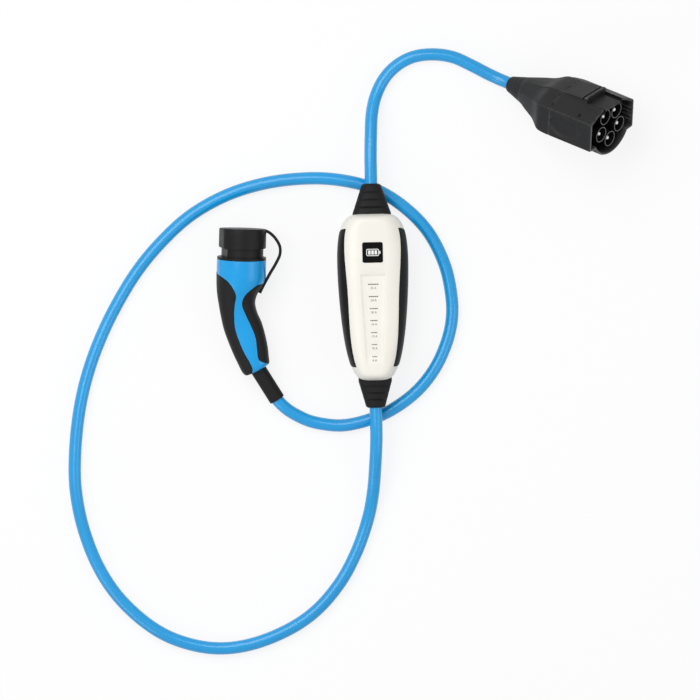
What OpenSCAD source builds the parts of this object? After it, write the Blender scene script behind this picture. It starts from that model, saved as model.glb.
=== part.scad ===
// Portable charger for electric cars: a control box in the cable, a supply plug
// with five pins on a short cable, and a vehicle connector on a long cable.
// The control box lies on its back with its long axis along Y. The origin is
// on the floor, half way between the ends of the two boots.

/* [Case] */
// Length of the moulded case between the boots
case_len = 226; // [210:1:250]
// Greatest width across the two side strips
case_w = 95.5; // [88:0.5:110]
// Radius of the long bowed sides in plan
side_bow_r = 880; // [700:10:1400]
// Widest place, above the middle of the case
wide_at = 57; // [40:1:70]
// Height of the boots and of the parting plane over the floor
axis_z = 34; // [33:0.5:40]
// Height of the front shell over the parting plane
front_h = 31; // [27:0.5:40]
// Wall of both shells
case_wall = 3; // [2.4:0.1:3.4]
// Thickness of the gasket between the shells
seal_h = 1.6; // [1:0.1:2]
// Width of the flat front at its top end
front_flat_top = 40; // [36:1:46]
// Width of the flat front at its lower end
front_flat_low = 29; // [26:1:32]
// Width of the flat back at its top end
back_flat_top = 62; // [50:1:66]
// Width of the flat back at its lower end
back_flat_low = 44; // [38:1:48]
// Rounding of the case at its ends, measured along Y
end_round = 11; // [8:0.5:16]
// Bow of the case's two ends in plan
end_bow = 1.6; // [0:0.1:4]

/* [Side strips] */
// Depth of the groove that holds a strip
strip_depth = 3.6; // [2.6:0.1:4.4]
// How far a strip stands out of the case
strip_proud = 0.4; // [0:0.1:1]
// Plan angle of a strip's top end
strip_top = 40.5; // [38:0.1:44]
// Plan angle of a strip's lower end
strip_low = 41.5; // [38:0.1:44]
// Edge of a strip on the front, as an angle on the dome
strip_front = 56; // [48:1:60]
// Edge of a strip on the back, as an angle on the dome
strip_back = 40; // [30:1:50]
// Gap between a strip and the sides of its groove
strip_gap = 0.25; // [0.1:0.05:0.5]

/* [Front face] */
// Side of the square status window
window_w = 27.6; // [22:0.2:32]
// Corner radius of the window
window_r = 2.6; // [1:0.1:5]
// Thickness of the window
window_t = 2.2; // [1.6:0.1:2.4]
// Depth of the window's pocket
window_seat = 1.6; // [1:0.1:1.8]
// Middle of the window along Y
window_y = 58; // [50:1:66]
// Clearance round the window
window_gap = 0.15; // [0.05:0.05:0.4]
// Top edge of the sunk scale field
field_top = 28; // [20:1:34]
// Length of the scale field
field_len = 122; // [100:1:126]
// Width of the scale field at its top edge
field_w_top = 35; // [30:0.5:37]
// Width of the scale field at its lower edge
field_w_low = 24; // [20:0.5:26]
// Depth of the scale field
field_depth = 1.2; // [0.6:0.1:1.6]
// Width of the sloped wall of the scale field
field_slope = 1.6; // [0.8:0.1:2.4]

/* [Boots of the box] */
// Length of the upper boot outside the case
boot_top_len = 40; // [34:1:50]
// Length of the lower boot outside the case
boot_low_len = 36; // [30:1:50]
// Width of the upper boot at the case
boot_top_w = 52; // [44:1:56]
// Width of the lower boot at the case
boot_low_w = 45; // [40:1:50]
// Height of both boots at the case
boot_h = 31; // [28:0.5:40]
// Diameter of both boots at the cable
boot_tip_d = 25; // [23:0.5:27]
// How far a boot reaches into the end wall
boot_seat = 9; // [8:0.5:12]
// Clearance of a boot in the end wall
boot_gap = 0.3; // [0.1:0.05:0.6]
// Number of grooves round a boot
boot_grooves = 3; // [2:1:3]
// Depth of these grooves
boot_groove_depth = 0.9; // [0.4:0.1:1.4]

/* [Cables] */
// Diameter of both cables
cable_d = 17; // [15:0.5:17]
// Clearance of a cable in a boot
cable_gap = 0.1; // [0.05:0.05:0.3]

/* [Inside the box] */
// Thickness of the main board
board_t = 1.6; // [1.2:0.1:2.4]
// Length of the main board
board_len = 134; // [120:1:140]
// Width of the main board at its top end
board_w_top = 56; // [46:1:60]
// Width of the main board at its lower end
board_w_low = 42; // [36:1:44]
// Height of the posts under the main board
post_h = 12; // [8:0.5:16]
// Diameter of these posts
post_d = 7; // [5:0.5:9]
// Shank diameter of the case screws
screw_d = 4; // [3:0.5:5]
// Head diameter of the case screws
screw_head_d = 7.6; // [6.5:0.1:9]
// Head height of the case screws
screw_head_h = 3; // [2:0.1:4]
// Diameter of the bosses for the case screws
boss_d = 10; // [9:0.5:12]
// How far a case screw reaches into the front boss
screw_grip = 10; // [6:1:16]

/* [Vehicle connector] */
// Radius of the round head
head_r = 33.3; // [31:0.1:36]
// Wall of the handle's shells and grips
handle_wall = 3.2; // [2.6:0.1:4]
// Radius of the round part of the nose
nose_r = 29; // [27:0.1:29.4]
// Distance of the nose's flat from the axis
nose_flat = 24.2; // [22:0.1:26]
// Turn of the nose in the head, about the contacts
nose_roll = 15; // [0:1:20]
// Length of the nose in front of the flange
nose_len = 35; // [31:0.5:40]
// Thickness of the flange
flange_t = 3; // [2:0.1:5]
// Length of the spigot inside the head
spigot_len = 13; // [9:1:14]
// Wall of the protective cap
cap_wall = 3; // [2:0.1:4]
// Length of the cap
cap_len = 26; // [20:0.5:30]
// Clearance between the cap and the nose
cap_gap = 0.4; // [0.3:0.05:0.8]
// Gap between the closed end of the cap and the nose
cap_end_gap = 0.5; // [0.3:0.1:2]
// Diameter of the power contacts' holes
power_hole_d = 10.4; // [9:0.1:11]
// Diameter of the signal contacts' holes
signal_hole_d = 6.4; // [5.4:0.1:7]
// Bore of a power contact
power_bore_d = 6.1; // [5:0.1:6.4]
// Bore of a signal contact
signal_bore_d = 3.1; // [2.6:0.1:3.4]
// How far the contacts lie behind the nose's face
contact_recess = 7; // [4:0.5:12]
// Length of the contacts
contact_len = 22; // [16:1:26]
// Clearance of the contacts in their holes
contact_gap = 0.1; // [0.05:0.05:0.3]
// Diameter of the handle's boot
handle_boot_d = 21.4; // [20:0.1:24]
// Length of the handle's boot outside the handle
handle_boot_len = 48; // [36:1:60]
// Length of the handle's boot inside the handle
handle_boot_in = 12; // [8:1:14]
// Clearance of the boot in the handle
handle_boot_gap = 0.5; // [0.45:0.05:0.6]
// Thickness of the cap's strap, as seen from the side
strap_t = 3.6; // [2.4:0.1:5]
// Width of the strap
strap_w = 8; // [5:0.5:10]

/* [Supply plug] */
// Length of the plug with its boot
plug_len = 172; // [164:1:180]
// Width of the plug across its two flat ears
plug_w = 96; // [90:0.5:100]
// Radius of the round underside
plug_r = 42; // [40:0.5:44]
// Upper edge of the ears' flat sides
ear_top = 20; // [16:0.5:22]
// Lower edge of the ears' flat sides
ear_low = 21; // [18:0.5:24]
// Half width of the raised block on top
block_w = 21; // [18:0.5:23]
// Height of the shoulders beside the block
shoulder_h = 28; // [27:0.5:29]
// Height of the block over the axis at its front
block_h = 40; // [37:0.5:42]
// Height of the block at the shoulder of the rear housing
block_low = 31; // [30:0.5:36]
// Height of the sunk front of the block
catch_h = 32; // [31.5:0.5:34]
// Length of the sunk front of the block
catch_len = 28; // [22:1:34]
// Width of the slit on each side of that front
slit_w = 3.2; // [2:0.1:4]
// Depth of the hollows in the ears' flat sides
hollow_depth = 1.8; // [0:0.1:2]
// Wall of the front housing
plug_wall = 3.4; // [2.8:0.1:3.6]
// Depth of the front cavity
cavity_depth = 46; // [40:1:54]
// Length of the front housing
plug_front_len = 70; // [62:1:78]
// Length from the face to the shoulder of the rear housing
shoulder_at = 98; // [94:1:104]
// Length of the boot on the plug
plug_boot_len = 28; // [22:1:36]
// Diameter of that boot at the housing
plug_boot_d = 38; // [34:0.5:42]
// Diameter of that boot at the cable
plug_tip_d = 21; // [20:0.5:24]
// Thickness of the seal between the housings
plug_seal_t = 1; // [0.6:0.1:2]
// Diameter of the circle of pins
pin_pcd = 42; // [40:0.5:43]
// Diameter of a pin
pin_d = 6; // [5:0.1:7]
// How far the pin tips lie behind the face
pin_recess = 5; // [4:0.5:14]
// Diameter of a pin's root in the carrier
pin_root_d = 7.4; // [7.2:0.1:9]
// Outer diameter of the cup round each pin
cup_d = 20.6; // [18:0.1:21]
// Bore of these cups
cup_bore_d = 16.6; // [14:0.1:17]
// How far the cups lie behind the face
cup_recess = 2.5; // [1:0.5:5]
// Thickness of the pin carrier's base
carrier_t = 6; // [4:0.5:8]
// Clearance of the carrier in the housing
carrier_gap = 0.2; // [0.1:0.05:0.5]

/* [Hidden] */
$fn = 64;
eps = 0.02;

// Places along the long axis of the box
whole_len = boot_low_len + case_len + boot_top_len;
low_end = -whole_len/2;
top_end = whole_len/2;
case_low = low_end + boot_low_len;
case_top = top_end - boot_top_len;
case_mid = (case_low + case_top)/2;
wide_y = case_mid + wide_at;
front_z = axis_z + front_h;

// Squareness of the plan and of the domes of the two shells
plan_n = 5;
dome_n = 2.3;
back_n = 3.4;
// Lean of the strips' ends, and how far their front edges draw in towards the ends
end_slant = 5;
draw_top = 12;
draw_low = 7;
strip_edge = 0.5;

// Angles round the case at which the shells have a column of points
half_cols = [-78, -66, -57, -50, -strip_low - strip_edge, -strip_low + strip_edge,
             -36, -27, -18, -9, 0, 9, 18, 27, 36,
             strip_top - strip_edge, strip_top + strip_edge, 50, 57, 66, 78];
half_n = len(half_cols);
case_cols = concat([-90], half_cols, [90], [for (i = [half_n - 1:-1:0]) 180 - half_cols[i]]);

// Angles from the rim to the flat at which each dome has a ring of points
front_rows = [0, 18, 36, strip_front - 0.7, strip_front + 0.7, 66, 78, 90];
back_rows = [0, 14, 27, strip_back - 0.7, strip_back + 0.7, 54, 70, 90];

function squircle(a, n) =
    let (r = pow(pow(abs(cos(a)), n) + pow(abs(sin(a)), n), -1/n)) [r*cos(a), r*sin(a)];

function case_half_w(y) = case_w/2 - pow(y - wide_y, 2)/(2*side_bow_r);

function rim_at(a) =
    let (q = squircle(a, plan_n), y = case_mid + q.y*(case_len/2 - end_bow*q.x*q.x))
    [q.x*case_half_w(y), y];

function flat_at(a, w_top, w_low) =
    let (q = squircle(a, plan_n), s = (1 + q.y)/2)
    [q.x*(w_low + (w_top - w_low)*s)/2, case_mid + q.y*(case_len/2 - end_round)];

// Point of the case's skin at a plan angle and a dome angle, moved out by off
function skin(a, row, front, off) =
    let (n = front ? dome_n : back_n,
         tau = front ? row - (sin(a) > 0 ? draw_top : draw_low)*pow(sin(2*a), 2)*sin(2*row) : row,
         b = a + end_slant*sin(2*a)*row/90,
         o = rim_at(b),
         p = front ? flat_at(b, front_flat_top, front_flat_low)
                   : flat_at(b, back_flat_top, back_flat_low),
         h = (front ? front_h : axis_z) - seal_h/2,
         d = p - o,
         l = norm(d),
         m = 1 - pow(cos(tau), 2/n),
         nh = h*pow(cos(tau), 2 - 2/n),
         nv = l*pow(sin(tau), 2 - 2/n),
         k = norm([nh, nv]),
         xy = o + d*m - d/l*nh/k*off,
         z = seal_h/2 + h*pow(sin(tau), 2/n) + nv/k*off)
    [xy.x, xy.y, axis_z + (front ? z : -z)];

// Plan angle folded onto the right half of the case
function folded(a) = a > 90 ? 180 - a : a;
function in_strip(a) = folded(a) > -strip_low && folded(a) < strip_top;
function groove(a, tau, edge) = in_strip(a) && tau < edge ? strip_depth : 0;

function case_ring(tau, front, off) =
    [for (a = case_cols) skin(a, tau, front, off - groove(a, tau, front ? strip_front : strip_back))];

function flat_list(l) = [for (r = l, p = r) p];

// Solid through closed rings of points, capped at the first and the last ring
module loft(rings, flip = false) {
    n = len(rings[0]);
    m = len(rings);
    faces = concat(
        [[for (i = [n - 1:-1:0]) i]],
        [for (k = [0:m - 2], i = [0:n - 1], h = [0, 1])
            let (a = k*n + i, b = k*n + (i + 1) % n, c = b + n, d = a + n)
            h == 0 ? [a, b, c] : [a, c, d]],
        [[for (i = [0:n - 1]) (m - 1)*n + i]]);
    polyhedron(flat_list(rings), flip ? [for (f = faces) [for (i = [len(f) - 1:-1:0]) f[i]]] : faces);
}

// Sheet with thickness between two grids of points
module thick_patch(outer, inner, flip = false) {
    r = len(outer);
    c = len(outer[0]);
    s = r*c;
    quads = concat(
        [for (i = [0:r - 2], j = [0:c - 2]) [i*c + j, i*c + j + 1, (i + 1)*c + j + 1, (i + 1)*c + j]],
        [for (i = [0:r - 2], j = [0:c - 2])
            [s + i*c + j, s + (i + 1)*c + j, s + (i + 1)*c + j + 1, s + i*c + j + 1]],
        [for (j = [0:c - 2]) [j + 1, j, s + j, s + j + 1]],
        [for (j = [0:c - 2]) let (e = (r - 1)*c + j) [e, e + 1, s + e + 1, s + e]],
        [for (i = [0:r - 2]) [i*c, (i + 1)*c, s + (i + 1)*c, s + i*c]],
        [for (i = [0:r - 2]) let (e = i*c + c - 1) [e + c, e, s + e, s + e + c]]);
    faces = [for (q = quads, h = [0, 1]) h == 0 ? [q[0], q[1], q[2]] : [q[0], q[2], q[3]]];
    polyhedron(concat(flat_list(outer), flat_list(inner)),
               flip ? [for (f = faces) [f[2], f[1], f[0]]] : faces);
}

// Case shells

module shell_half(front) {
    rows = front ? front_rows : back_rows;
    n = len(rows);
    loft(concat([for (k = [n - 1:-1:0]) case_ring(rows[k], front, 0)],
                [for (k = [0:n - 1]) case_ring(rows[k], front, -case_wall)]), !front);
}

module round_rect(w, h, r) {
    square([w - 2*r, h], center = true);
    square([w, h - 2*r], center = true);
    for (x = [-1, 1], y = [-1, 1]) translate([x*(w/2 - r), y*(h/2 - r)]) circle(r);
}

// Prism along Y with its middle on the cable's axis
module along_y(y0, y1) {
    translate([0, y1, axis_z]) rotate([90, 0, 0]) linear_extrude(y1 - y0) children();
}

boot_corner = 12;
wall_room = 8;

// Way for the boots through the end walls
module boot_ways() {
    along_y(case_top - boot_seat - wall_room, case_top + wall_room)
        round_rect(boot_top_w + 2*boot_gap, boot_h + 2*boot_gap, boot_corner);
    along_y(case_low - wall_room, case_low + boot_seat + wall_room)
        round_rect(boot_low_w + 2*boot_gap, boot_h + 2*boot_gap, boot_corner);
}

// Case screws stand inside the flat front and the flat back
screw_top_y = case_top - 31;
screw_low_y = case_low + 31;
screw_top_x = 15;
screw_low_x = 14;
screw_places = [[-screw_top_x, screw_top_y], [screw_top_x, screw_top_y],
                [-screw_low_x, screw_low_y], [screw_low_x, screw_low_y]];
screw_gap = 0.2;
screw_sink = screw_head_h + 1;
boss_root = 1.5;

module at_screws() {
    for (p = screw_places) translate([p.x, p.y, 0]) children();
}

// Sunk field with sloped walls, cut from the flat front
module scale_field() {
    low = field_top - field_len;
    corners = [[-field_w_low/2, low], [field_w_low/2, low],
               [field_w_top/2, field_top], [-field_w_top/2, field_top]];
    inner = [for (c = corners)
        [c.x - sign(c.x)*field_slope, c.y + (c.y == low ? field_slope : -field_slope)]];
    loft([[for (c = corners) [c.x, c.y, front_z + eps]],
          [for (c = inner) [c.x, c.y, front_z - field_depth]]]);
}

module front_shell() {
    color("ivory") difference() {
        union() {
            shell_half(true);
            at_screws() translate([0, 0, axis_z + seal_h/2])
                cylinder(d = boss_d, h = front_h - seal_h/2 - case_wall + boss_root - field_depth);
            for (y = light_posts) translate([0, y, light_z + board_t])
                cylinder(d = light_post_d,
                         h = front_z - case_wall - light_z - board_t + boss_root - field_depth);
        }
        at_screws() translate([0, 0, axis_z - eps]) cylinder(d = screw_d, h = screw_grip + seal_h + 1);
        boot_ways();
        scale_field();
        translate([0, window_y, front_z - window_seat]) linear_extrude(window_seat + 1)
            round_rect(window_w + 2*window_gap, window_w + 2*window_gap, window_r + window_gap);
    }
}

module rear_shell() {
    color("ivory") difference() {
        union() {
            shell_half(false);
            at_screws() translate([0, 0, case_wall - boss_root])
                cylinder(d = boss_d, h = axis_z - seal_h/2 - case_wall + boss_root);
            for (p = post_places) translate([p.x, p.y, case_wall - boss_root]) difference() {
                cylinder(d = post_d, h = post_h + boss_root);
                translate([0, 0, post_h + boss_root - board_screw_grip - 1])
                    cylinder(d = board_screw_d + 2*part_gap, h = board_screw_grip + 2);
            }
            for (y = [clamp_top_y, clamp_low_y]) translate([-clamp_w/2, y - clamp_t/2, case_wall - boss_root])
                cube([clamp_w, clamp_t, clamp_floor - case_wall + boss_root]);
        }
        at_screws() translate([0, 0, -eps]) {
            cylinder(d = screw_d + 2*screw_gap, h = axis_z + 1);
            cylinder(d = screw_head_d + 2*screw_gap, h = screw_sink + eps);
        }
        boot_ways();
    }
}

// Gasket on the rim, inside the skin of the case and of the grooves
seal_edge = 0.5;
seal_w = 2;

module case_gasket() {
    color("dimgray") difference() {
        translate([0, 0, axis_z - seal_h/2]) linear_extrude(seal_h) difference() {
            polygon([for (a = case_cols)
                let (p = skin(a, 0, true, -seal_edge - groove(a, 0, 1))) [p.x, p.y]]);
            polygon([for (a = case_cols)
                let (p = skin(a, 0, true, -seal_edge - seal_w - groove(a, 0, 1))) [p.x, p.y]]);
        }
        boot_ways();
    }
}

// Rubber strip that wraps the side of the case from the front to the back
module side_strip(right) {
    side_cols = [for (a = half_cols) if (a > -strip_low && a < strip_top) a];
    n = len(side_cols);
    end_gap = strip_gap/2;
    ends = [for (i = [0:n - 1]) side_cols[i] + (i == 0 ? end_gap : i == n - 1 ? -end_gap : 0)];
    cols = right ? ends : [for (i = [n - 1:-1:0]) 180 - ends[i]];
    edge = 1.1;
    rows = concat([for (t = [strip_front - edge, 42, 28, 14]) [t, true]], [[0, true], [0, false]],
                  [for (t = [12, 25, strip_back - edge]) [t, false]]);
    function at_edge(r) = abs(r[0] - (r[1] ? strip_front : strip_back)) < 2*edge;
    function grid(off) = [for (r = rows) [for (a = cols)
        skin(a, r[0], r[1], off > 0 && at_edge(r) ? 0 : off)]];
    thick_patch(grid(strip_proud), grid(-strip_depth + strip_gap));
}

module left_strip() { color("#2b2b2d") side_strip(false); }
module right_strip() { color("#2b2b2d") side_strip(true); }

module status_window() {
    color("#151517") translate([0, window_y, front_z - window_seat])
        linear_extrude(window_t) round_rect(window_w, window_w, window_r);
}

// Boots of the box: squarish at the case, round at the cable, with grooves

boot_n = 3.2;
boot_sides = 28;

// Half width, half height and squareness of a boot at a share of its length
function boot_ring(s, w, y, dip) =
    let (k = max(0, s),
         a = w/2 + (boot_tip_d - w)/2*k - dip,
         b = boot_h/2 + (boot_tip_d - boot_h)/2*k - dip,
         n = boot_n + (2 - boot_n)*k)
    [for (i = [0:boot_sides - 1]) let (q = squircle(i*360/boot_sides, n)) [a*q.x, y, axis_z + b*q.y]];

module box_boot(w, length, root, dir) {
    pitch = 0.76*length/boot_grooves;
    first = 0.2*length;
    round_end = 2;
    steps = concat([[-boot_seat, 0], [0.2, 0]],
        [for (g = [0:boot_grooves - 1], e = [[-1.6, 0], [-0.5, 1], [0.5, 1], [1.6, 0]])
            [first + g*pitch + e[0], e[1]*boot_groove_depth]],
        [[length - round_end, 0], [length - 0.6, 0.7], [length, round_end]]);
    difference() {
        loft([for (s = steps) boot_ring(s[0]/length, w, root + dir*s[0], s[1])], dir > 0);
        translate([0, root - dir*(boot_seat + 1), axis_z]) rotate([-90*dir, 0, 0])
            cylinder(d = cable_d + 2*cable_gap, h = length + boot_seat + 2);
    }
}

module upper_boot() { color("#29292b") box_boot(boot_top_w, boot_top_len, case_top, 1); }
module lower_boot() { color("#29292b") box_boot(boot_low_w, boot_low_len, case_low, -1); }

// Inside the box

board_z = case_wall + post_h;
board_top = board_z + board_t;
board_room = 3;
board_low = screw_low_y + boss_d/2 + board_room;
board_end = board_low + board_len;
part_gap = 0.05;

// Posts stand clear of what is soldered to the board
post_top_y = board_end - 20;
post_low_y = board_low + 24;
post_places = [[-20, post_top_y], [20, post_top_y], [-15, post_low_y], [15, post_low_y]];
board_screw_d = 2.8;
board_screw_head = 5.6;
board_screw_grip = 7;

clamp_t = 10;
clamp_w = 34;
clamp_h = 26;
clamp_floor = axis_z - clamp_h/2;
clamp_top_y = case_top - boot_seat - clamp_t/2 - 0.3;
clamp_low_y = case_low + boot_seat + clamp_t/2 + 0.3;

module main_board() {
    color("darkgreen") translate([0, 0, board_z]) linear_extrude(board_t) difference() {
        polygon([[-board_w_low/2, board_low], [board_w_low/2, board_low],
                 [board_w_top/2, board_end], [-board_w_top/2, board_end]]);
        for (p = post_places) translate(p) circle(d = board_screw_d + 2*screw_gap);
    }
}

module board_screws() {
    color("silver") for (p = post_places) translate([p.x, p.y, board_top]) {
        cylinder(d = board_screw_head, h = board_screw_d/2);
        translate([0, 0, -board_t - board_screw_grip])
            cylinder(d = board_screw_d, h = board_t + board_screw_grip + eps);
    }
}

relay_size = [22, 28, 17];
relay_y = [board_end - 61, board_end - 92];

module relays() {
    color("#3a3f46") for (y = relay_y)
        translate([-relay_size.x - 1, y - relay_size.y/2, board_top + part_gap]) cube(relay_size);
}

sensor_r = 10;
sensor_t = 4.5;
sensor_y = board_end - 30;

module current_sensor() {
    color("#8a5a2b") translate([0, sensor_y, board_top + sensor_t + part_gap])
        rotate_extrude() translate([sensor_r, 0]) circle(sensor_t);
}

supply_size = [20, 50, 16];
supply_y = board_end - 76;

module power_supply() {
    color("#26282c") translate([2, supply_y - supply_size.y/2, board_top + part_gap]) cube(supply_size);
}

terminal_size = [34, 12, 12];
terminal_d = 5;
terminal_n = 5;
terminal_edge = 2;
terminal_top_y = board_end - terminal_size.y/2 - terminal_edge;
terminal_low_y = board_low + terminal_size.y/2 + terminal_edge;

module terminal_block(y, z) {
    translate([0, y, z]) difference() {
        translate([-terminal_size.x/2, -terminal_size.y/2, 0]) cube(terminal_size);
        for (i = [0:terminal_n - 1]) translate([(i - (terminal_n - 1)/2)*terminal_size.x/terminal_n, 0, 6])
            rotate([90, 0, 0]) cylinder(d = terminal_d, h = terminal_size.y + 2, center = true);
    }
}

module output_terminals() { color("#4c7a4a") terminal_block(terminal_low_y, board_top + part_gap); }
module input_terminals() { color("#4c7a4a") terminal_block(terminal_top_y, board_top + part_gap); }

// Light board behind the scale field
light_z = front_z - 12;
light_post_d = 5;
light_w = 12;
light_d = 4;
light_h = 4;
scale_n = 7;
scale_pitch = 16.2;
scale_first = field_top - 13;
scale_last = scale_first - (scale_n - 1)*scale_pitch;
light_posts = [scale_first + scale_pitch/2, scale_last - scale_pitch/2];
light_top = light_posts[0] + light_post_d;
light_low = light_posts[1] - light_post_d;

module light_board() {
    color("darkgreen") translate([-light_w/2, light_low, light_z])
        cube([light_w, light_top - light_low, board_t]);
}

module scale_lights() {
    color("lightcyan") for (i = [0:scale_n - 1])
        translate([0, scale_first - i*scale_pitch, light_z + board_t]) cylinder(d = light_d, h = light_h);
}

module cable_clamp(y) {
    difference() {
        translate([-clamp_w/2, y - clamp_t/2, clamp_floor]) cube([clamp_w, clamp_t, clamp_h]);
        translate([0, y, axis_z]) rotate([90, 0, 0])
            cylinder(d = cable_d + 2*cable_gap, h = clamp_t + 2, center = true);
    }
}

module upper_clamp() { color("#3b3b3e") cable_clamp(clamp_top_y); }
module lower_clamp() { color("#3b3b3e") cable_clamp(clamp_low_y); }

module case_screws() {
    color("silver") at_screws() {
        translate([0, 0, screw_sink - screw_head_h]) difference() {
            cylinder(d = screw_head_d, h = screw_head_h);
            translate([0, 0, -eps]) cylinder(d = screw_d, h = 1.6, $fn = 6);
        }
        translate([0, 0, screw_sink - 0.01])
            cylinder(d = screw_d - 0.05, h = axis_z - screw_sink + seal_h + screw_grip - 2);
    }
}

// Vehicle connector. Its own frame has Y along the contacts, X across the
// handle and the middle of the head's front face as its origin.

handle_at = [-176.5, 53];
handle_turn = -2.7;
// Sections from the head to the tail: back edge, inner edge, half thickness,
// squareness, and the share of the width at which each grip ends
handle_sections = [
    [-head_r, 0, head_r, 0, head_r, 2, 0, 1],
    [-head_r, -14, head_r, -13, head_r, 2, 0, 1],
    [-33, -27, 33, -24.5, 32.5, 2, 0.13, 1],
    [-32.4, -40, 29, -36, 30, 2.1, 0.36, 0.80],
    [-31, -51.5, 22.5, -46, 26.5, 2.2, 0.46, 0.70],
    [-29, -62, 19.5, -58, 24, 2.3, 0.445, 0.665],
    [-26, -77, 22.5, -71.5, 22, 2.4, 0.375, 0.72],
    [-21.5, -95, 29, -85.5, 21, 2.4, 0.305, 0.74],
    [-15, -112, 34, -101.5, 21, 2.4, 0.30, 0.775],
    [-8, -128, 37.7, -117, 21, 2.4, 0.325, 0.735],
    [-1, -142, 39.6, -130.5, 20.4, 2.4, 0.385, 0.735],
    [4, -151.5, 40.6, -138, 19.2, 2.3, 0.40, 0.90],
    [9, -158.2, 39.4, -142.4, 16.5, 2.2, 0.30, 0.98]];
tail_n = len(handle_sections) - 1;
tail_head = 2;
tip = 0.006;
back_from = 1.55;
finger_from = 2.45;
finger_to = 11.4;
seam = 1.2;
tail_seam = 3;

function spline(p0, p1, p2, p3, f) =
    0.5*(2*p1 + (p2 - p0)*f + (2*p0 - 5*p1 + 4*p2 - p3)*f*f + (3*p1 - p0 - 3*p2 + p3)*f*f*f);

function section(t) =
    let (i = min(floor(t), tail_n - 1))
    spline(handle_sections[max(i - 1, 0)], handle_sections[i], handle_sections[i + 1],
           handle_sections[min(i + 2, tail_n)], t - i);

module place_handle() {
    translate([handle_at.x, handle_at.y, handle_z]) rotate([0, 0, handle_turn])
        rotate([handle_pitch, 0, 0]) children();
}

// Cylinders along the contacts stand on the XZ plane of the connector
module along_contacts() { rotate([-90, 0, 0]) children(); }

boot_hole_r = handle_boot_d/2 + handle_boot_gap;
// The boot stands on the tail at a share of its width, leaning a little
tail_share = 0.57;
boot_heading = -56.5;
tail_mid = let (s = handle_sections[tail_n]) [s[0], s[1]] + tail_share*[s[2] - s[0], s[3] - s[1]];
tail_dir = [cos(boot_heading), sin(boot_heading)];

// Point of the handle's skin; past the last section it closes round the boot
function handle_pt(t, phi, inset) =
    let (s = section(min(t, tail_n)), l = [s[0], s[1]], r = [s[2], s[3]], d = (r - l)/norm(r - l),
         closed = t > tail_n,
         c = closed ? tail_mid : (l + r)/2,
         back = closed || t == tail_n ? inset : 0,
         a = closed ? boot_hole_r : norm(r - l)/2 - inset,
         b = closed ? boot_hole_r : s[4] - inset,
         q = squircle(phi, closed ? 2 : s[5]))
    [c.x + d.x*a*q.x - d.y*back, c.y + d.y*a*q.x + d.x*back, b*q.y];

// Half of the angle between two neighbours on the handle
function half_seam(t) = (t > tail_n - 0.5 ? tail_seam : seam)/2;

// Angle on a section at a share of its width
function phi_at(share, n) =
    let (x = 2*share - 1, p = abs(x) < 0.001 ? 90 : atan(pow(pow(abs(x), -n) - 1, 1/n)))
    x > 0 ? p : 180 - p;
function back_phi(t) =
    let (s = section(min(t, tail_n))) phi_at(t < back_from ? 0 : max(tip, s[6]), s[5]);
function finger_phi(t) =
    let (s = section(min(t, tail_n)), free = t < finger_from || t > finger_to)
    phi_at(free ? 1 : min(1 - tip, s[7]), s[5]);

step_gap = 0.04;
handle_rows = concat([0, 0.5, 1, back_from - step_gap, back_from, 2, finger_from - step_gap, finger_from],
                     [for (t = [3:0.5:11]) t], [finger_to, finger_to + step_gap, tail_n - 0.3],
                     [tail_n, tail_n + 1]);

// Pitch at which the head and the tail both touch the floor
head_rest = handle_sections[2];
tail_rest = handle_sections[11];
rest_span = (head_rest[1] + head_rest[3] - tail_rest[1] - tail_rest[3])/2;
handle_pitch = atan((head_rest[4] - tail_rest[4])/rest_span);
handle_z = -min([for (t = handle_rows, phi = [180:6:360])
    let (p = handle_pt(t, phi, 0)) p.y*sin(handle_pitch) + p.z*cos(handle_pitch)]);

// Skin of the handle between two edges, as a sheet of the handle's wall
module handle_skin(rows, edges, cols) {
    function grid(inset) = [for (k = [0:len(rows) - 1]) [for (j = [0:cols])
        handle_pt(rows[k], edges[k][1] + (edges[k][0] - edges[k][1])*j/cols, inset)]];
    place_handle() thick_patch(grid(0), grid(handle_wall));
}

module handle_top() {
    color("#2a97e8") handle_skin(handle_rows,
        [for (t = handle_rows) [finger_phi(t) + half_seam(t), back_phi(t) - half_seam(t)]], 9);
}

module handle_bottom() {
    color("#2a97e8") handle_skin(handle_rows,
        [for (t = handle_rows) [360 - back_phi(t) + half_seam(t), 360 - finger_phi(t) - half_seam(t)]], 9);
}

module back_grip() {
    rows = [for (t = handle_rows) if (t >= back_from) t];
    color("#29292b") handle_skin(rows,
        [for (t = rows) [back_phi(t) + half_seam(t), 360 - back_phi(t) - half_seam(t)]], 12);
}

module finger_grip() {
    rows = [for (t = handle_rows) if (t >= finger_from && t <= finger_to) t];
    color("#29292b") handle_skin(rows,
        [for (t = rows) [-finger_phi(t) + half_seam(t), finger_phi(t) - half_seam(t)]], 12);
}

// Round section with one flat towards the back of the handle
module d_shape(r, flat) {
    rotate(nose_roll) intersection() {
        circle(r);
        translate([-flat, -r - 1]) square([flat + r + 1, 2*r + 2]);
    }
}

spigot_gap = 0.9;
function rolled(p) = [p.x*cos(nose_roll) - p.y*sin(nose_roll), p.x*sin(nose_roll) + p.y*cos(nose_roll)];
power_places = [for (p = [[0, 0], [-1.5, 16.5], [-1.5, -16.5], [15, 8.8], [15, -8.8]]) rolled(p)];
signal_places = [for (p = [[-14.5, 8], [-14.5, -8]]) rolled(p)];
hole_depth = contact_recess + contact_len;
nose_front = flange_t + nose_len;

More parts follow.
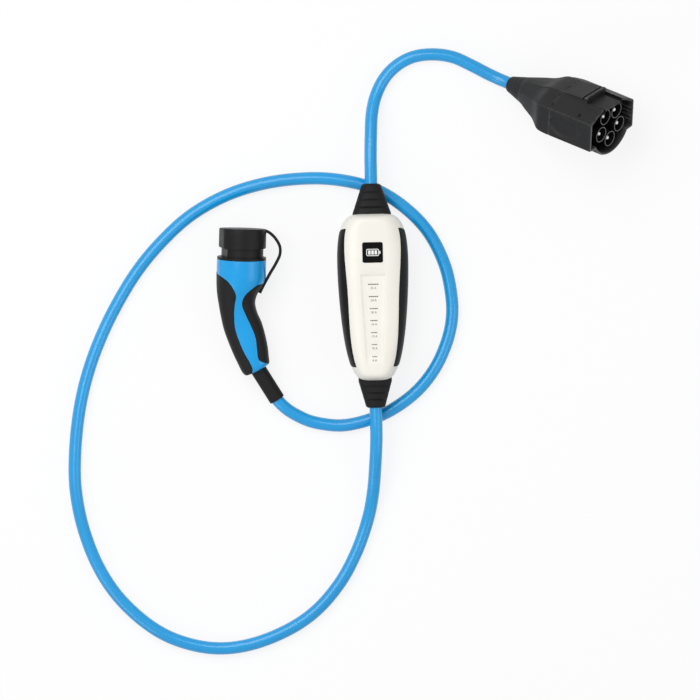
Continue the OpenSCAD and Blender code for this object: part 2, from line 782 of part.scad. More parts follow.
module connector_nose() {
    color("#232325") place_handle() along_contacts() difference() {
        union() {
            translate([0, 0, -spigot_len])
                cylinder(r = head_r - handle_wall - spigot_gap, h = spigot_len + eps);
            cylinder(r = head_r - 0.3, h = flange_t);
            translate([0, 0, flange_t - eps]) linear_extrude(nose_len + eps) d_shape(nose_r, nose_flat);
        }
        for (p = power_places) translate([p.x, p.y, nose_front - hole_depth])
            cylinder(d = power_hole_d, h = hole_depth + 1);
        for (p = signal_places) translate([p.x, p.y, nose_front - hole_depth])
            cylinder(d = signal_hole_d, h = hole_depth + 1);
    }
}

module contact(d, bore) {
    difference() {
        cylinder(d = d - 2*contact_gap, h = contact_len);
        translate([0, 0, 4]) cylinder(d = bore, h = contact_len);
    }
}

module power_contacts() {
    color("gold") place_handle() along_contacts() for (p = power_places)
        translate([p.x, p.y, nose_front - hole_depth]) contact(power_hole_d, power_bore_d);
}

module signal_contacts() {
    color("gold") place_handle() along_contacts() for (p = signal_places)
        translate([p.x, p.y, nose_front - hole_depth]) contact(signal_hole_d, signal_bore_d);
}

// Protective cap with a rounded end, pulled off along the contacts
cap_front = nose_front + cap_end_gap + cap_wall;
cap_r = nose_r + cap_gap + cap_wall;
cap_round = 3;
lug_len = 5;

module dust_cap() {
    color("#232325") place_handle() along_contacts() {
        difference() {
            intersection() {
                translate([0, 0, cap_front - cap_len]) rotate_extrude() {
                    square([cap_r - cap_round, cap_len]);
                    square([cap_r, cap_len - cap_round]);
                    translate([cap_r - cap_round, cap_len - cap_round]) circle(cap_round);
                }
                translate([0, 0, cap_front - cap_len - 1]) linear_extrude(cap_len + 2)
                    d_shape(cap_r + 1, nose_flat + cap_gap + cap_wall);
            }
            translate([0, 0, cap_front - cap_len - 1]) linear_extrude(cap_len - cap_wall + 1)
                d_shape(nose_r + cap_gap, nose_flat + cap_gap);
        }
        translate([cap_r - 2, -strap_w/2, cap_front - cap_round - strap_t])
            cube([lug_len, strap_w, strap_t]);
    }
}

// Strap from the cap's lug to the neck of the handle, as a band with this middle line
strap_gap = 0.4;
lug_y = cap_front - cap_round - strap_t/2;
strap_line = [[cap_r + lug_len - 2 + strap_gap, lug_y], [cap_r + lug_len - 1 + strap_gap, lug_y],
              [43, 33.5], [49.5, 24], [53, 14], [53, 5], [49.5, -4], [43, -13.5], [37.6, -23],
              [33.8, -31], [30.6, -37.5], [26.8, -43.5]];

function turned(l, i) =
    let (a = l[max(i - 1, 0)], b = l[min(i + 1, len(l) - 1)], d = (b - a)/norm(b - a)) [-d.y, d.x];

module cap_strap() {
    n = len(strap_line);
    color("#29292b") place_handle() translate([0, 0, -strap_w/2]) linear_extrude(strap_w)
        polygon(concat([for (i = [0:n - 1]) strap_line[i] + turned(strap_line, i)*strap_t/2],
                       [for (i = [n - 1:-1:0]) strap_line[i] - turned(strap_line, i)*strap_t/2]));
}

// Cylinders along the handle's boot start at the tail
module along_boot() {
    place_handle() translate([tail_mid.x, tail_mid.y, 0])
        rotate([0, 0, atan2(tail_dir.y, tail_dir.x)]) rotate([0, 90, 0]) children();
}

module handle_boot() {
    color("#29292b") along_boot() translate([0, 0, -handle_boot_in]) difference() {
        cylinder(d = handle_boot_d, h = handle_boot_in + handle_boot_len);
        translate([0, 0, -1]) cylinder(d = cable_d + 2*cable_gap, h = handle_boot_in + handle_boot_len + 2);
    }
}

grip_ring_d = 26;
grip_ring_t = 8;

module handle_clamp() {
    color("#3b3b3e") along_boot() translate([0, 0, -handle_boot_in - grip_ring_t]) difference() {
        cylinder(d = grip_ring_d, h = grip_ring_t);
        translate([0, 0, -1]) cylinder(d = cable_d + 2*cable_gap, h = grip_ring_t + 2);
    }
}

// Supply plug. Its own frame has Z towards the face, X across the ears and
// Y towards the raised block, with the middle of the face as its origin.

plug_at = [324.6, 221];
plug_heading = -24.4;
plug_tilt = 31;
plug_roll = 53.4;
ear_w = plug_w/2;

// The block falls off from its front to the shoulder
function block_at(w) =
    max(shoulder_h + 1.5, block_h + (block_low - block_h)*(w - catch_len)/(shoulder_at - catch_len));

// Outline of the plug from the right ear round the top to the underside, with slightly crowned flats
under_steps = 8;
ear_slope = 1;
under_from = 180 + asin((ear_low + ear_slope)/plug_r);
flat_crown = 0.25;
slant = [shoulder_h - ear_top, ear_w - block_w];
slant_mid = [ear_w + block_w, ear_top + shoulder_h]/2 + flat_crown*slant/norm(slant);
function plug_outline(top) = concat(
    [[ear_w, -ear_low], [ear_w + flat_crown, 0], [ear_w, ear_top], slant_mid,
     [block_w, shoulder_h], [block_w, top], [0, top + flat_crown], [-block_w, top],
     [-block_w, shoulder_h], [-slant_mid.x, slant_mid.y], [-ear_w, ear_top], [-ear_w - flat_crown, 0],
     [-ear_w, -ear_low]],
    [for (i = [0:under_steps])
        let (a = under_from + (540 - 2*under_from)*i/under_steps) plug_r*[cos(a), sin(a)]]);

// The stiff cable holds the plug: it bends up from the floor into the plug's boot
cable_floor = cable_d/2 + 0.1;
cable_bend = 3.1*cable_d;
plug_z = cable_floor + cable_bend*(1 - cos(plug_tilt)) + plug_len*sin(plug_tilt);

module place_plug() {
    translate([plug_at.x, plug_at.y, plug_z]) rotate([0, 0, plug_heading]) rotate([0, -plug_tilt, 0])
        rotate([-plug_roll, 0, 0]) rotate([90, 0, 90]) children();
}

// Section of the plug without the raised block, set in by i
module plug_section(i, top) {
    polygon([[-ear_w + i, -ear_low + i], [ear_w - i, -ear_low + i], [ear_w - i, ear_top - i*0.7],
             [block_w, shoulder_h - i], [-block_w, shoulder_h - i], [-ear_w + i, ear_top - i*0.7]]);
    intersection() {
        circle(plug_r - i);
        translate([-plug_r, -plug_r]) square([2*plug_r, plug_r]);
    }
    translate([-block_w + i, 0]) square([2*block_w - 2*i, top]);
}

catch_slot = 3;
catch_slot_at = 5;
catch_slot_deep = 4;
vent_w = 6;
vent_h = 2.4;
vent_deep = 1.6;
vent_at = (ear_w + block_w)/2;
slit_floor = shoulder_h - 1.5;
hollow_r = 160;
hollow_w = 26;
hollow_at = 44;

module plug_front() {
    color("#2a2a2c") place_plug() difference() {
        union() {
            translate([0, 0, -plug_front_len]) linear_extrude(plug_front_len) plug_section(0, catch_h);
            translate([-block_w, 0, 0]) rotate([90, 0, 90]) linear_extrude(2*block_w)
                polygon([[0, -plug_front_len], [block_at(plug_front_len), -plug_front_len],
                         [block_h, -catch_len], [0, -catch_len]]);
        }
        translate([0, 0, -cavity_depth]) linear_extrude(cavity_depth + 1) {
            plug_section(plug_wall, catch_h - plug_wall);
            at_pins() circle(d = cup_d + 2*carrier_gap);
        }
        translate([-block_w - 1, block_h - catch_slot_deep, -catch_len - catch_slot_at - catch_slot])
            cube([2*block_w + 2, catch_slot_deep + 1, catch_slot]);
        for (x = [-1, 1]) {
            translate([x*vent_at, (ear_top + shoulder_h)/2, -catch_len])
                rotate([0, 0, -x*atan((shoulder_h - ear_top)/(ear_w - block_w))])
                    cube([vent_w, 2*vent_deep, vent_h], center = true);
            translate([x*(block_w - slit_w/2), slit_floor + block_h/2, -catch_len/2])
                cube([slit_w, block_h, catch_len + 2*eps], center = true);
            translate([x*(ear_w - hollow_depth + hollow_r), 0, -hollow_at])
                rotate([90, 0, 0]) cylinder(r = hollow_r, h = hollow_w, center = true, $fn = 180);
        }
    }
}

module plug_seal() {
    color("#151517") place_plug() translate([0, 0, -plug_front_len - plug_seal_t])
        linear_extrude(plug_seal_t) plug_section(1, block_at(plug_front_len) - 1);
}

// Rear housing: full section to the shoulder, then down to the round boot
rear_start = plug_front_len + plug_seal_t;
rear_end = plug_len - plug_boot_len;

// Directions from the axis to the outline's points, on which the round sections lie
round_dir = [for (p = plug_outline(block_h)) p/norm(p)];

function plug_ring(w, s, k) =
    let (line = plug_outline(block_at(w)))
    [for (i = [0:len(line) - 1])
        let (q = s*line[i], m = q + (plug_boot_d/2*round_dir[i] - q)*k) [m.x, m.y, -w]];

cable_in = 14;

// Wall of the cable's hole in the rear housing, wide enough between its corners
bore_r = (cable_d/2 + cable_gap)/cos(15);

function bore_ring(w) = [for (d = round_dir) [bore_r*d.x, bore_r*d.y, -w]];

// Places along the rear housing with the size of the section and its share of roundness
rear_rings = [[rear_start, 1, 0], [shoulder_at - 17, 0.995, 0], [shoulder_at - 9, 0.975, 0],
              [shoulder_at - 3, 0.935, 0.03], [shoulder_at + 3, 0.89, 0.12], [shoulder_at + 12, 0.87, 0.33],
              [(shoulder_at + rear_end)/2 + 6, 0.87, 0.65], [rear_end, 0.87, 1]];

module plug_rear() {
    color("#2a2a2c") place_plug()
        loft(concat([for (r = rear_rings) plug_ring(r[0], r[1], r[2])],
                    [bore_ring(rear_end), bore_ring(rear_end - cable_in)]));
}

plug_boot_rings = 3;
ring_cut = 0.7;

module plug_boot() {
    slope = (plug_boot_d - plug_tip_d)/2/plug_boot_len;
    pitch = plug_boot_len/(plug_boot_rings + 1);
    color("#29292b") place_plug() translate([0, 0, -plug_len]) difference() {
        rotate_extrude() difference() {
            polygon([[cable_d/2 + cable_gap, 0], [plug_tip_d/2 - 1, 0], [plug_tip_d/2, 1],
                     [plug_boot_d/2, plug_boot_len], [cable_d/2 + cable_gap, plug_boot_len]]);
            for (i = [1:plug_boot_rings])
                translate([plug_tip_d/2 + slope*pitch*i - ring_cut, pitch*i - ring_cut/2])
                    square([3*ring_cut, ring_cut]);
        }
    }
}

pin_angles = [for (i = [0:4]) 54 + 72*i];
carrier_back = cavity_depth;
cup_root = carrier_t - carrier_back;

module at_pins() {
    for (a = pin_angles) rotate([0, 0, a]) translate([pin_pcd/2, 0, 0]) children();
}

module pin_carrier() {
    color("#1d1d1f") place_plug() difference() {
        translate([0, 0, -carrier_back + part_gap]) linear_extrude(carrier_t - part_gap)
            plug_section(plug_wall + carrier_gap, catch_h - plug_wall - carrier_gap);
        at_pins() translate([0, 0, -carrier_back - 1])
            cylinder(d = pin_root_d + 2*contact_gap, h = carrier_back);
    }
}

module pin_cups() {
    color("#1d1d1f") place_plug() at_pins() translate([0, 0, cup_root + part_gap]) difference() {
        cylinder(d = cup_d, h = -cup_root - cup_recess - part_gap);
        translate([0, 0, -1]) cylinder(d = cup_bore_d, h = carrier_back);
    }
}

module contact_pins() {
    color("silver") place_plug() at_pins() {
        translate([0, 0, -carrier_back + part_gap]) cylinder(d = pin_root_d, h = carrier_t - part_gap);
        translate([0, 0, cup_root - eps]) cylinder(d = pin_d, h = -cup_root - pin_recess - pin_d/2 + eps);
        translate([0, 0, -pin_recess - pin_d/2]) sphere(d = pin_d);
    }
}

// Cables. A route is a list of points on the middle line, in the frame of the box.

cable_r = cable_d/2;
cable_sides = 12;

// Places on the cable ends, taken from the pieces that hold them
function in_handle(p) =
    let (y = p.y*cos(handle_pitch), z = p.y*sin(handle_pitch) + handle_z)
    [handle_at.x + p.x*cos(handle_turn) - y*sin(handle_turn),
     handle_at.y + p.x*sin(handle_turn) + y*cos(handle_turn), z];
function in_plug(w) =
    [plug_at.x - w*cos(plug_tilt)*cos(plug_heading), plug_at.y - w*cos(plug_tilt)*sin(plug_heading),
     plug_z - w*sin(plug_tilt)];
past_ring = 6;
handle_in = in_handle(tail_mid - tail_dir*(handle_boot_in + grip_ring_t + past_ring));
handle_core = in_handle([2, -78]);
handle_out = in_handle(tail_mid + tail_dir*handle_boot_len);

supply_route = concat(
    [[0, clamp_top_y - clamp_t/2, axis_z], [0, top_end, axis_z]],
    [[0, 185, 33.5], [1, 215, 29], [3, 245, 20], [9, 270, 12], [21, 293, 8.8], [38, 310, 8.6],
     [60, 321, 8.6], [86, 324, 8.6], [113, 320, 8.6], [137, 309, 8.6], [159, 297, 8.6],
     [171, 291, 9], [177, 288, 10.2], [184, 285, 12.4]],
    [in_plug(plug_len), in_plug(rear_end - cable_in + 0.2)]);

charging_route = concat(
    [[0, clamp_low_y + clamp_t/2, axis_z], [0, low_end, axis_z]],
    [[0, -190, 33], [-2, -225, 26], [-6, -265, 14], [-14, -302, 8.8], [-30, -345, 8.6], [-53, -386, 8.6],
     [-86, -423, 8.6], [-126, -449, 8.6], [-176, -467, 8.6], [-224, -471, 8.6], [-272, -460, 8.6],
     [-312, -438, 8.6], [-351, -401, 8.6], [-379, -357, 8.6], [-398, -305, 8.6], [-407, -254, 8.6],
     [-407, -206, 8.6], [-401, -153, 8.6], [-390, -105, 8.6], [-373, -58, 8.6], [-350, -11, 8.6],
     [-320, 37, 8.6], [-286, 77, 8.6], [-245, 113, 8.6], [-197, 139, 8.6], [-147, 154, 8.6],
     [-96, 160, 8.6], [-48, 158, 8.6], [0, 146, 8.6], [40, 122, 8.6], [74, 87, 8.6], [96, 43, 8.6],
     [105, 0, 8.6], [105, -35, 8.6], [96, -69, 8.6], [78, -104, 8.6], [50, -135, 8.6], [10, -160, 8.6],
     [-35, -173, 8.6], [-69, -172, 8.6], [-101, -162, 9.6]],
    [handle_out, handle_in, handle_core]);

function unit(v) = v/norm(v);

// Rings of a round tube, each square to the middle line at its point
function tube_rings(path, r, n) =
    [for (i = [0:len(path) - 1])
        let (t = unit(path[min(i + 1, len(path) - 1)] - path[max(i - 1, 0)]),
             side = unit(cross(t, [0, 0, 1])), up = cross(side, t))
        [for (k = [0:n - 1]) path[i] + r*(cos(k*360/n)*side + sin(k*360/n)*up)]];

module supply_cable() { color("#2a9bf0") loft(tube_rings(supply_route, cable_r, cable_sides), true); }
module charging_cable() { color("#2a9bf0") loft(tube_rings(charging_route, cable_r, cable_sides), true); }

front_shell();
rear_shell();
case_gasket();
left_strip();
right_strip();
status_window();
upper_boot();
lower_boot();
main_board();
board_screws();
relays();
current_sensor();
power_supply();
input_terminals();
output_terminals();
light_board();
scale_lights();
upper_clamp();
lower_clamp();
case_screws();
handle_top();
handle_bottom();
back_grip();
finger_grip();
connector_nose();
power_contacts();
signal_contacts();
dust_cap();
cap_strap();
handle_boot();
handle_clamp();
plug_front();
plug_rear();
plug_seal();
plug_boot();
pin_carrier();
pin_cups();
contact_pins();
supply_cable();
charging_cable();
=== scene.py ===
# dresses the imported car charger: camera, materials, cords and stage, then box, connector and plug
import bpy, math
from mathutils import Matrix, Vector
from mathutils.geometry import delaunay_2d_cdt


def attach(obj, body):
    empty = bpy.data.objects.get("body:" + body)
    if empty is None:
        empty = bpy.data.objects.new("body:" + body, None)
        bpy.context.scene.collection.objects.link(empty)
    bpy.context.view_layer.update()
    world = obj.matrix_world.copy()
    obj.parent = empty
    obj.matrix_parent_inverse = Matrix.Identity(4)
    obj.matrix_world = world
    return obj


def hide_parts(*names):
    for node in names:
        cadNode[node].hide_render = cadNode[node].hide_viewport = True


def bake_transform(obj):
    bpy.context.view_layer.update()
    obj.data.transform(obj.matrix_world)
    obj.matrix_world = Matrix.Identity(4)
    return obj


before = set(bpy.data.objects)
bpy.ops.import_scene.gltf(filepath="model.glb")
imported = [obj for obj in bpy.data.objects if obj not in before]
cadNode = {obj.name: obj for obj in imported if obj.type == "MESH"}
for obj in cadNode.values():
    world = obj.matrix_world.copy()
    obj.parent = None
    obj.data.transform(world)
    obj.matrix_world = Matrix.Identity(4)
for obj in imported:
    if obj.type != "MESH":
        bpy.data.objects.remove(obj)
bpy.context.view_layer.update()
scene = bpy.context.scene
scene.view_settings.view_transform = "Standard"
mm = 0.001

def addObject(name, data):
    obj = bpy.data.objects.new(name, data)
    scene.collection.objects.link(obj)
    return obj

# camera, straight over the layout

shot = dict(over=(-0.0331, -0.0725), height=16, roll=-1.2, across=0.945, sensor=36, reach=60)

camData = bpy.data.cameras.new("overheadCamera")
camData.sensor_width = shot["sensor"]
camData.lens = shot["sensor"] * shot["height"] / shot["across"]
camData.clip_end = shot["reach"]
camera = addObject("overheadCamera", camData)
camera.location = (*shot["over"], shot["height"])
camera.rotation_euler = (0, 0, math.radians(shot["roll"]))
scene.camera = camera
print("camera set")

# shader groups

def newGroup(name, ins, outs):
    tree = bpy.data.node_groups.new(name, "ShaderNodeTree")
    for label, value in ins:
        sock = tree.interface.new_socket(label, in_out="INPUT", socket_type="NodeSocketFloat")
        sock.default_value = value
    for label in outs:
        tree.interface.new_socket(label, in_out="OUTPUT", socket_type="NodeSocketFloat")
    return tree, tree.nodes.new("NodeGroupInput"), tree.nodes.new("NodeGroupOutput")

def feed(tree, socket, value):  # a number or a colour is set, an output is linked
    if isinstance(value, (int, float)):
        socket.default_value = value
    elif isinstance(value, tuple):
        socket.default_value = (*value, 1.0)
    else:
        tree.links.new(value, socket)

def mathNode(tree, op, a, b):
    n = tree.nodes.new("ShaderNodeMath")
    n.operation = op
    feed(tree, n.inputs[0], a)
    feed(tree, n.inputs[1], b)
    return n.outputs[0]

def mapRange(tree, value, lo, hi, outLo=0.0, outHi=1.0):
    n = tree.nodes.new("ShaderNodeMapRange")
    for key, v in (("Value", value), ("From Min", lo), ("From Max", hi), ("To Min", outLo), ("To Max", outHi)):
        feed(tree, n.inputs[key], v)
    return n.outputs["Result"]

def noiseNode(tree, scale, detail, rough):
    where = tree.nodes.new("ShaderNodeTexCoord")
    n = tree.nodes.new("ShaderNodeTexNoise")
    tree.links.new(where.outputs["Object"], n.inputs["Vector"])
    tree.links.new(scale, n.inputs["Scale"])
    n.inputs["Detail"].default_value = detail
    n.inputs["Roughness"].default_value = rough
    return n.outputs["Fac"]

# detail and roughness of each noise, and the range of it that shows
noiseCfg = dict(fine=(3, 0.6), broad=(4, 0.55), broadShows=(0.32, 0.68), smear=(5, 0.62), spots=(3, 0.5),
    spotScale=7, smearShows=(0.18, 0.38), breakup=(4, 0.6), breakupShows=(0.35, 0.6))

def makeGrain():  # spark-eroded mould texture: a fine grain and a broad mottle
    tree, gin, gout = newGroup("mouldGrain", [("Scale", 1800.0), ("Mottle Scale", 60.0)], ["Height", "Mottle"])
    fine = noiseNode(tree, gin.outputs["Scale"], *noiseCfg["fine"])
    broad = noiseNode(tree, gin.outputs["Mottle Scale"], *noiseCfg["broad"])
    tree.links.new(fine, gout.inputs["Height"])
    tree.links.new(mapRange(tree, broad, *noiseCfg["broadShows"]), gout.inputs["Mottle"])
    return tree

def makeHandling():  # smears and rubbed spots left by hands
    tree, gin, gout = newGroup("handling", [("Scale", 25.0), ("Amount", 0.5)], ["Smear"])
    broad = noiseNode(tree, gin.outputs["Scale"], *noiseCfg["smear"])
    finer = mathNode(tree, "MULTIPLY", gin.outputs["Scale"], noiseCfg["spotScale"])
    both = mathNode(tree, "MULTIPLY", broad, noiseNode(tree, finer, *noiseCfg["spots"]))
    shown = mapRange(tree, both, *noiseCfg["smearShows"])
    tree.links.new(mathNode(tree, "MULTIPLY", shown, gin.outputs["Amount"]), gout.inputs["Smear"])
    return tree

def makeEdgeRubAndHighlight():  # edges that are paler: rubbed wear, and a painted highlight along them
    tree, gin, gout = newGroup("edgeRubAndHighlight", [("Start", 0.52), ("End", 0.60), ("Breakup", 180.0)], ["Rub"])
    geo = tree.nodes.new("ShaderNodeNewGeometry")
    edge = mapRange(tree, geo.outputs["Pointiness"], gin.outputs["Start"], gin.outputs["End"])
    patchy = noiseNode(tree, gin.outputs["Breakup"], *noiseCfg["breakup"])
    broken = mapRange(tree, patchy, *noiseCfg["breakupShows"])
    tree.links.new(mathNode(tree, "MULTIPLY", edge, broken), gout.inputs["Rub"])
    return tree

grainGroup, handlingGroup, edgeRubHighlightGroup = makeGrain(), makeHandling(), makeEdgeRubAndHighlight()

def placeGroup(tree, group, **values):
    n = tree.nodes.new("ShaderNodeGroup")
    n.node_tree = group
    for key, v in values.items():
        n.inputs[key].default_value = v
    return n

colourIn, colourOut = (6, 7), 2  # the mix node's sockets for colours

def mixColour(tree, factor, *colours):
    n = tree.nodes.new("ShaderNodeMix")
    n.data_type = "RGBA"
    tree.links.new(factor, n.inputs["Factor"])
    for k, v in zip(colourIn, colours):
        feed(tree, n.inputs[k], v)
    return n.outputs[colourOut]

finishBase = dict(rough=(0.4, 0.5), grain=1600, mottle=60, bump=0.2, deep=0.05, smear=0.4, smearRough=0.1,
    metal=0, specular=0.5, coat=0, coatRough=0.03)
finishInputs = dict(metal="Metallic", specular="Specular IOR Level", coat="Coat Weight", coatRough="Coat Roughness")

def finish(name, own):
    cfg = {**finishBase, **own}
    mat = bpy.data.materials.new(name)
    mat.use_nodes = True
    tree = mat.node_tree
    bsdf = tree.nodes["Principled BSDF"]
    grain = placeGroup(tree, grainGroup, **{"Scale": cfg["grain"], "Mottle Scale": cfg["mottle"]})
    smear = placeGroup(tree, handlingGroup, Amount=cfg["smear"])
    colour = mixColour(tree, grain.outputs["Mottle"], *cfg["tones"])
    # edges painted paler by pointiness: partly rubbed wear, partly a painted highlight
    if "rubbedAndHighlit" in cfg:
        rubAndHighlight = placeGroup(tree, edgeRubHighlightGroup, Start=cfg["rubFrom"], End=cfg["rubTo"])
        colour = mixColour(tree, rubAndHighlight.outputs["Rub"], colour, cfg["rubbedAndHighlit"])
    tree.links.new(colour, bsdf.inputs["Base Color"])
    rough = mathNode(tree, "ADD", mapRange(tree, grain.outputs["Mottle"], 0.0, 1.0, *cfg["rough"]),
                     mathNode(tree, "MULTIPLY", smear.outputs["Smear"], cfg["smearRough"]))
    tree.links.new(rough, bsdf.inputs["Roughness"])
    bump = tree.nodes.new("ShaderNodeBump")
    bump.inputs["Strength"].default_value = cfg["bump"]
    bump.inputs["Distance"].default_value = cfg["deep"] * mm
    tree.links.new(grain.outputs["Height"], bump.inputs["Height"])
    tree.links.new(bump.outputs["Normal"], bsdf.inputs["Normal"])
    for key, label in finishInputs.items():
        bsdf.inputs[label].default_value = cfg[key]
    return mat

softBlack = ((0.006, 0.006, 0.0065), (0.009, 0.009, 0.0095))
finishes = {  # two tones that the mottle mixes, and where a finish differs from the base
    "caseCream": dict(tones=((0.88, 0.86, 0.79), (0.85, 0.825, 0.75)), rough=(0.3, 0.36), grain=1500,
        mottle=14, bump=0.12, deep=0.03),
    "stripRubber": dict(tones=softBlack, rough=(0.4, 0.48), grain=2200, mottle=45, bump=0.25, specular=0.13),
    "windowGloss": dict(tones=((0.002, 0.002, 0.0022), (0.003, 0.003, 0.0032)), rough=(0.1, 0.15), grain=900,
        mottle=30, bump=0.03, deep=0.01, smear=0.6, specular=0.08),
    "bootRubber": dict(tones=softBlack, rough=(0.5, 0.6), grain=2600, bump=0.35, deep=0.06, specular=0.16),
    "handleBlue": dict(tones=((0.002, 0.325, 0.74), (0.004, 0.35, 0.78)), rough=(0.3, 0.38), grain=1900,
        mottle=22, bump=0.18, deep=0.04, specular=0.15, coat=0.5, coatRough=0.2),
    "gripRubber": dict(tones=softBlack, rough=(0.46, 0.56), grain=2400, mottle=50, bump=0.4, deep=0.07,
        specular=0.18),
    "noseBlack": dict(tones=softBlack, rough=(0.36, 0.46), grain=1800, mottle=40, bump=0.25, specular=0.16),
    # the plug's edges are painted paler: partly rubbed wear, partly a painted highlight
    "plugBlack": dict(tones=((0.013, 0.013, 0.014), (0.018, 0.018, 0.019)), rough=(0.44, 0.55), grain=1400,
        mottle=35, bump=0.5, deep=0.09, specular=0.2, rubbedAndHighlit=(0.1, 0.1, 0.1), rubFrom=0.515, rubTo=0.58),
    # deepest black: the pin insert's own colour, and painted shade in the slit and the vents
    "insertBlackAndPaintedShade": dict(tones=((0.004, 0.004, 0.004), (0.006, 0.006, 0.006)), rough=(0.45, 0.55), mottle=40,
        bump=0.3, specular=0.08),
    # pale grey that paints a highlight on rims
    "paintedRimHighlight": dict(tones=((0.1, 0.1, 0.1), (0.13, 0.13, 0.13)), rough=(0.35, 0.45), deep=0.04, specular=0.3),
    "pinNickel": dict(tones=((0.9, 0.89, 0.87), (0.84, 0.83, 0.8)), rough=(0.22, 0.3), grain=2500,
        mottle=90, bump=0.08, deep=0.02, metal=0.35),
    "contactGold": dict(tones=((0.8, 0.6, 0.25), (0.72, 0.52, 0.2)), rough=(0.2, 0.3), grain=2500,
        mottle=90, bump=0.08, deep=0.02, metal=1),
    "cableBlue": dict(tones=((0.002, 0.31, 0.69), (0.004, 0.335, 0.73)), rough=(0.34, 0.42), grain=150,
        mottle=18, bump=0.015, deep=0.06, smear=0.5, coat=0.85, coatRough=0.18, specular=0.1),
    "sealGrey": dict(tones=((0.06, 0.06, 0.06), (0.08, 0.08, 0.08)), rough=(0.6, 0.7), grain=2400),
    "boardGreen": dict(tones=((0.02, 0.16, 0.07), (0.03, 0.2, 0.09)), rough=(0.3, 0.42), grain=600,
        mottle=80, bump=0.1),
    "screwSteel": dict(tones=((0.62, 0.62, 0.63), (0.5, 0.5, 0.51)), rough=(0.28, 0.4), grain=2500,
        mottle=120, bump=0.1, metal=1),
    "relayGrey": dict(tones=((0.04, 0.045, 0.055), (0.05, 0.055, 0.065))),
    "coilTape": dict(tones=((0.28, 0.12, 0.035), (0.34, 0.16, 0.05)), grain=900, mottle=90),
    "blockGreen": dict(tones=((0.06, 0.18, 0.06), (0.07, 0.21, 0.07))),
    "lightClear": dict(tones=((0.82, 0.88, 0.9), (0.78, 0.85, 0.88)), rough=(0.1, 0.18), grain=900,
        bump=0.05),
    "printGrey": dict(tones=((0.055, 0.052, 0.05), (0.09, 0.085, 0.08)), rough=(0.45, 0.55), grain=1500,
        mottle=220, bump=0.1),
    "printWhite": dict(tones=((0.86, 0.86, 0.85), (0.8, 0.8, 0.79)), rough=(0.35, 0.45), grain=1500,
        mottle=160, bump=0.1),
}
paint = {name: finish(name, cfg) for name, cfg in finishes.items()}
print("materials made:", len(paint))

# mesh helpers, all in millimetres

def dress(data, look, sharp):  # sharp: degrees from which an edge isn't smooth
    data.materials.append(paint[look])
    data.polygons.foreach_set("use_smooth", [True] * len(data.polygons))
    data.update()
    if sharp:
        data.set_sharp_from_angle(angle=math.radians(sharp))

def makePiece(name, verts, faces, look, stands=(), body="charger", sharp=None, slot=None):
    data = bpy.data.meshes.new(name)
    data.from_pydata([Vector(v) * mm for v in verts], [], faces)
    dress(data, look, sharp)
    obj = addObject(name, data)
    if body:  # a piece given no body rides on none
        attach(obj, body)
    if stands:
        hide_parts(*stands)
    return obj

def gridFaces(rows, cols, closed=False, start=0, flip=False):
    faces = []
    for i in range(rows - 1):
        for j in range(cols if closed else cols - 1):
            a, b = start + i * cols + j, start + i * cols + (j + 1) % cols
            quad = (a, b, b + cols, a + cols)
            faces.append(quad[::-1] if flip else quad)
    return faces

def sind(a):
    return math.sin(math.radians(a))

def cosd(a):
    return math.cos(math.radians(a))

def turn(degrees, axis):
    return Matrix.Rotation(math.radians(degrees), 4, axis)

def allRound(n):
    return [360 * k / n for k in range(n)]

def circle(n):
    return [(cosd(a), sind(a)) for a in allRound(n)]

def squircle(a, n):
    c, s = cosd(a), sind(a)
    r = (abs(c) ** n + abs(s) ** n) ** (-1 / n)
    return r * c, r * s

def smooth(x):
    x = min(1.0, max(0.0, x))
    return x * x * (3 - 2 * x)

def splinePoint(p0, p1, p2, p3, f):
    return [0.5 * (2 * b + (c - a) * f + (2 * a - 5 * b + 4 * c - d) * f * f + (3 * b - a - 3 * c + d) * f ** 3)
            for a, b, c, d in zip(p0, p1, p2, p3)]

def fourNear(points, i):
    return [points[min(max(k, 0), len(points) - 1)] for k in range(i - 1, i + 3)]

def smoothLine(points, step):
    line = []
    for i in range(len(points) - 1):
        p0, p1, p2, p3 = (Vector(p) for p in fourNear(points, i))
        if i == 0:
            p0 = 2 * p1 - p2
        if i == len(points) - 2:
            p3 = 2 * p2 - p1
        count = max(1, round((p2 - p1).length / step))
        line += [Vector(splinePoint(p0, p1, p2, p3, k / count)) for k in range(count)]
    return line + [Vector(points[-1])]

def lathe(profile, place, sides):
    verts = [place @ Vector((r * c, r * s, along)) for along, r in profile for c, s in circle(sides)]
    return verts, gridFaces(len(profile), sides, closed=True)

def quarter(top, r, e, angles, side=-1):  # rounded edge at the end of a side: place along, distance
    return [(top - e * (1 - sind(a)), r + side * e * (1 - cosd(a))) for a in angles]

def lids(rings, cols):
    return [list(range(cols))[::-1], [(rings - 1) * cols + k for k in range(cols)]]

def addPart(verts, faces, moreVerts, moreFaces):
    start = len(verts)
    verts += moreVerts
    faces += [[i + start for i in f] for f in moreFaces]

# rubber laid on a skin: a wall at the rim, then a rolled edge. Each line is mm from the rim and share of the lift

patchRim = ((0.0, -0.2), (0.12, 0.5), (0.4, 0.88), (0.9, 1.0))
rimMost, spreadSteps = 0.24, 12  # largest share of a patch for one rim, steps in measuring a patch

def rimLines(count, length, skirt):
    near = [(0.0, -skirt)] + [(min(d / max(length, 0.1), rimMost), h) for d, h in patchRim]
    span = 1 - 2 * near[-1][0]
    inner = [(near[-1][0] + span * k / count, 1.0) for k in range(1, count)]
    return near + inner + [(1 - f, h) for f, h in reversed(near)]

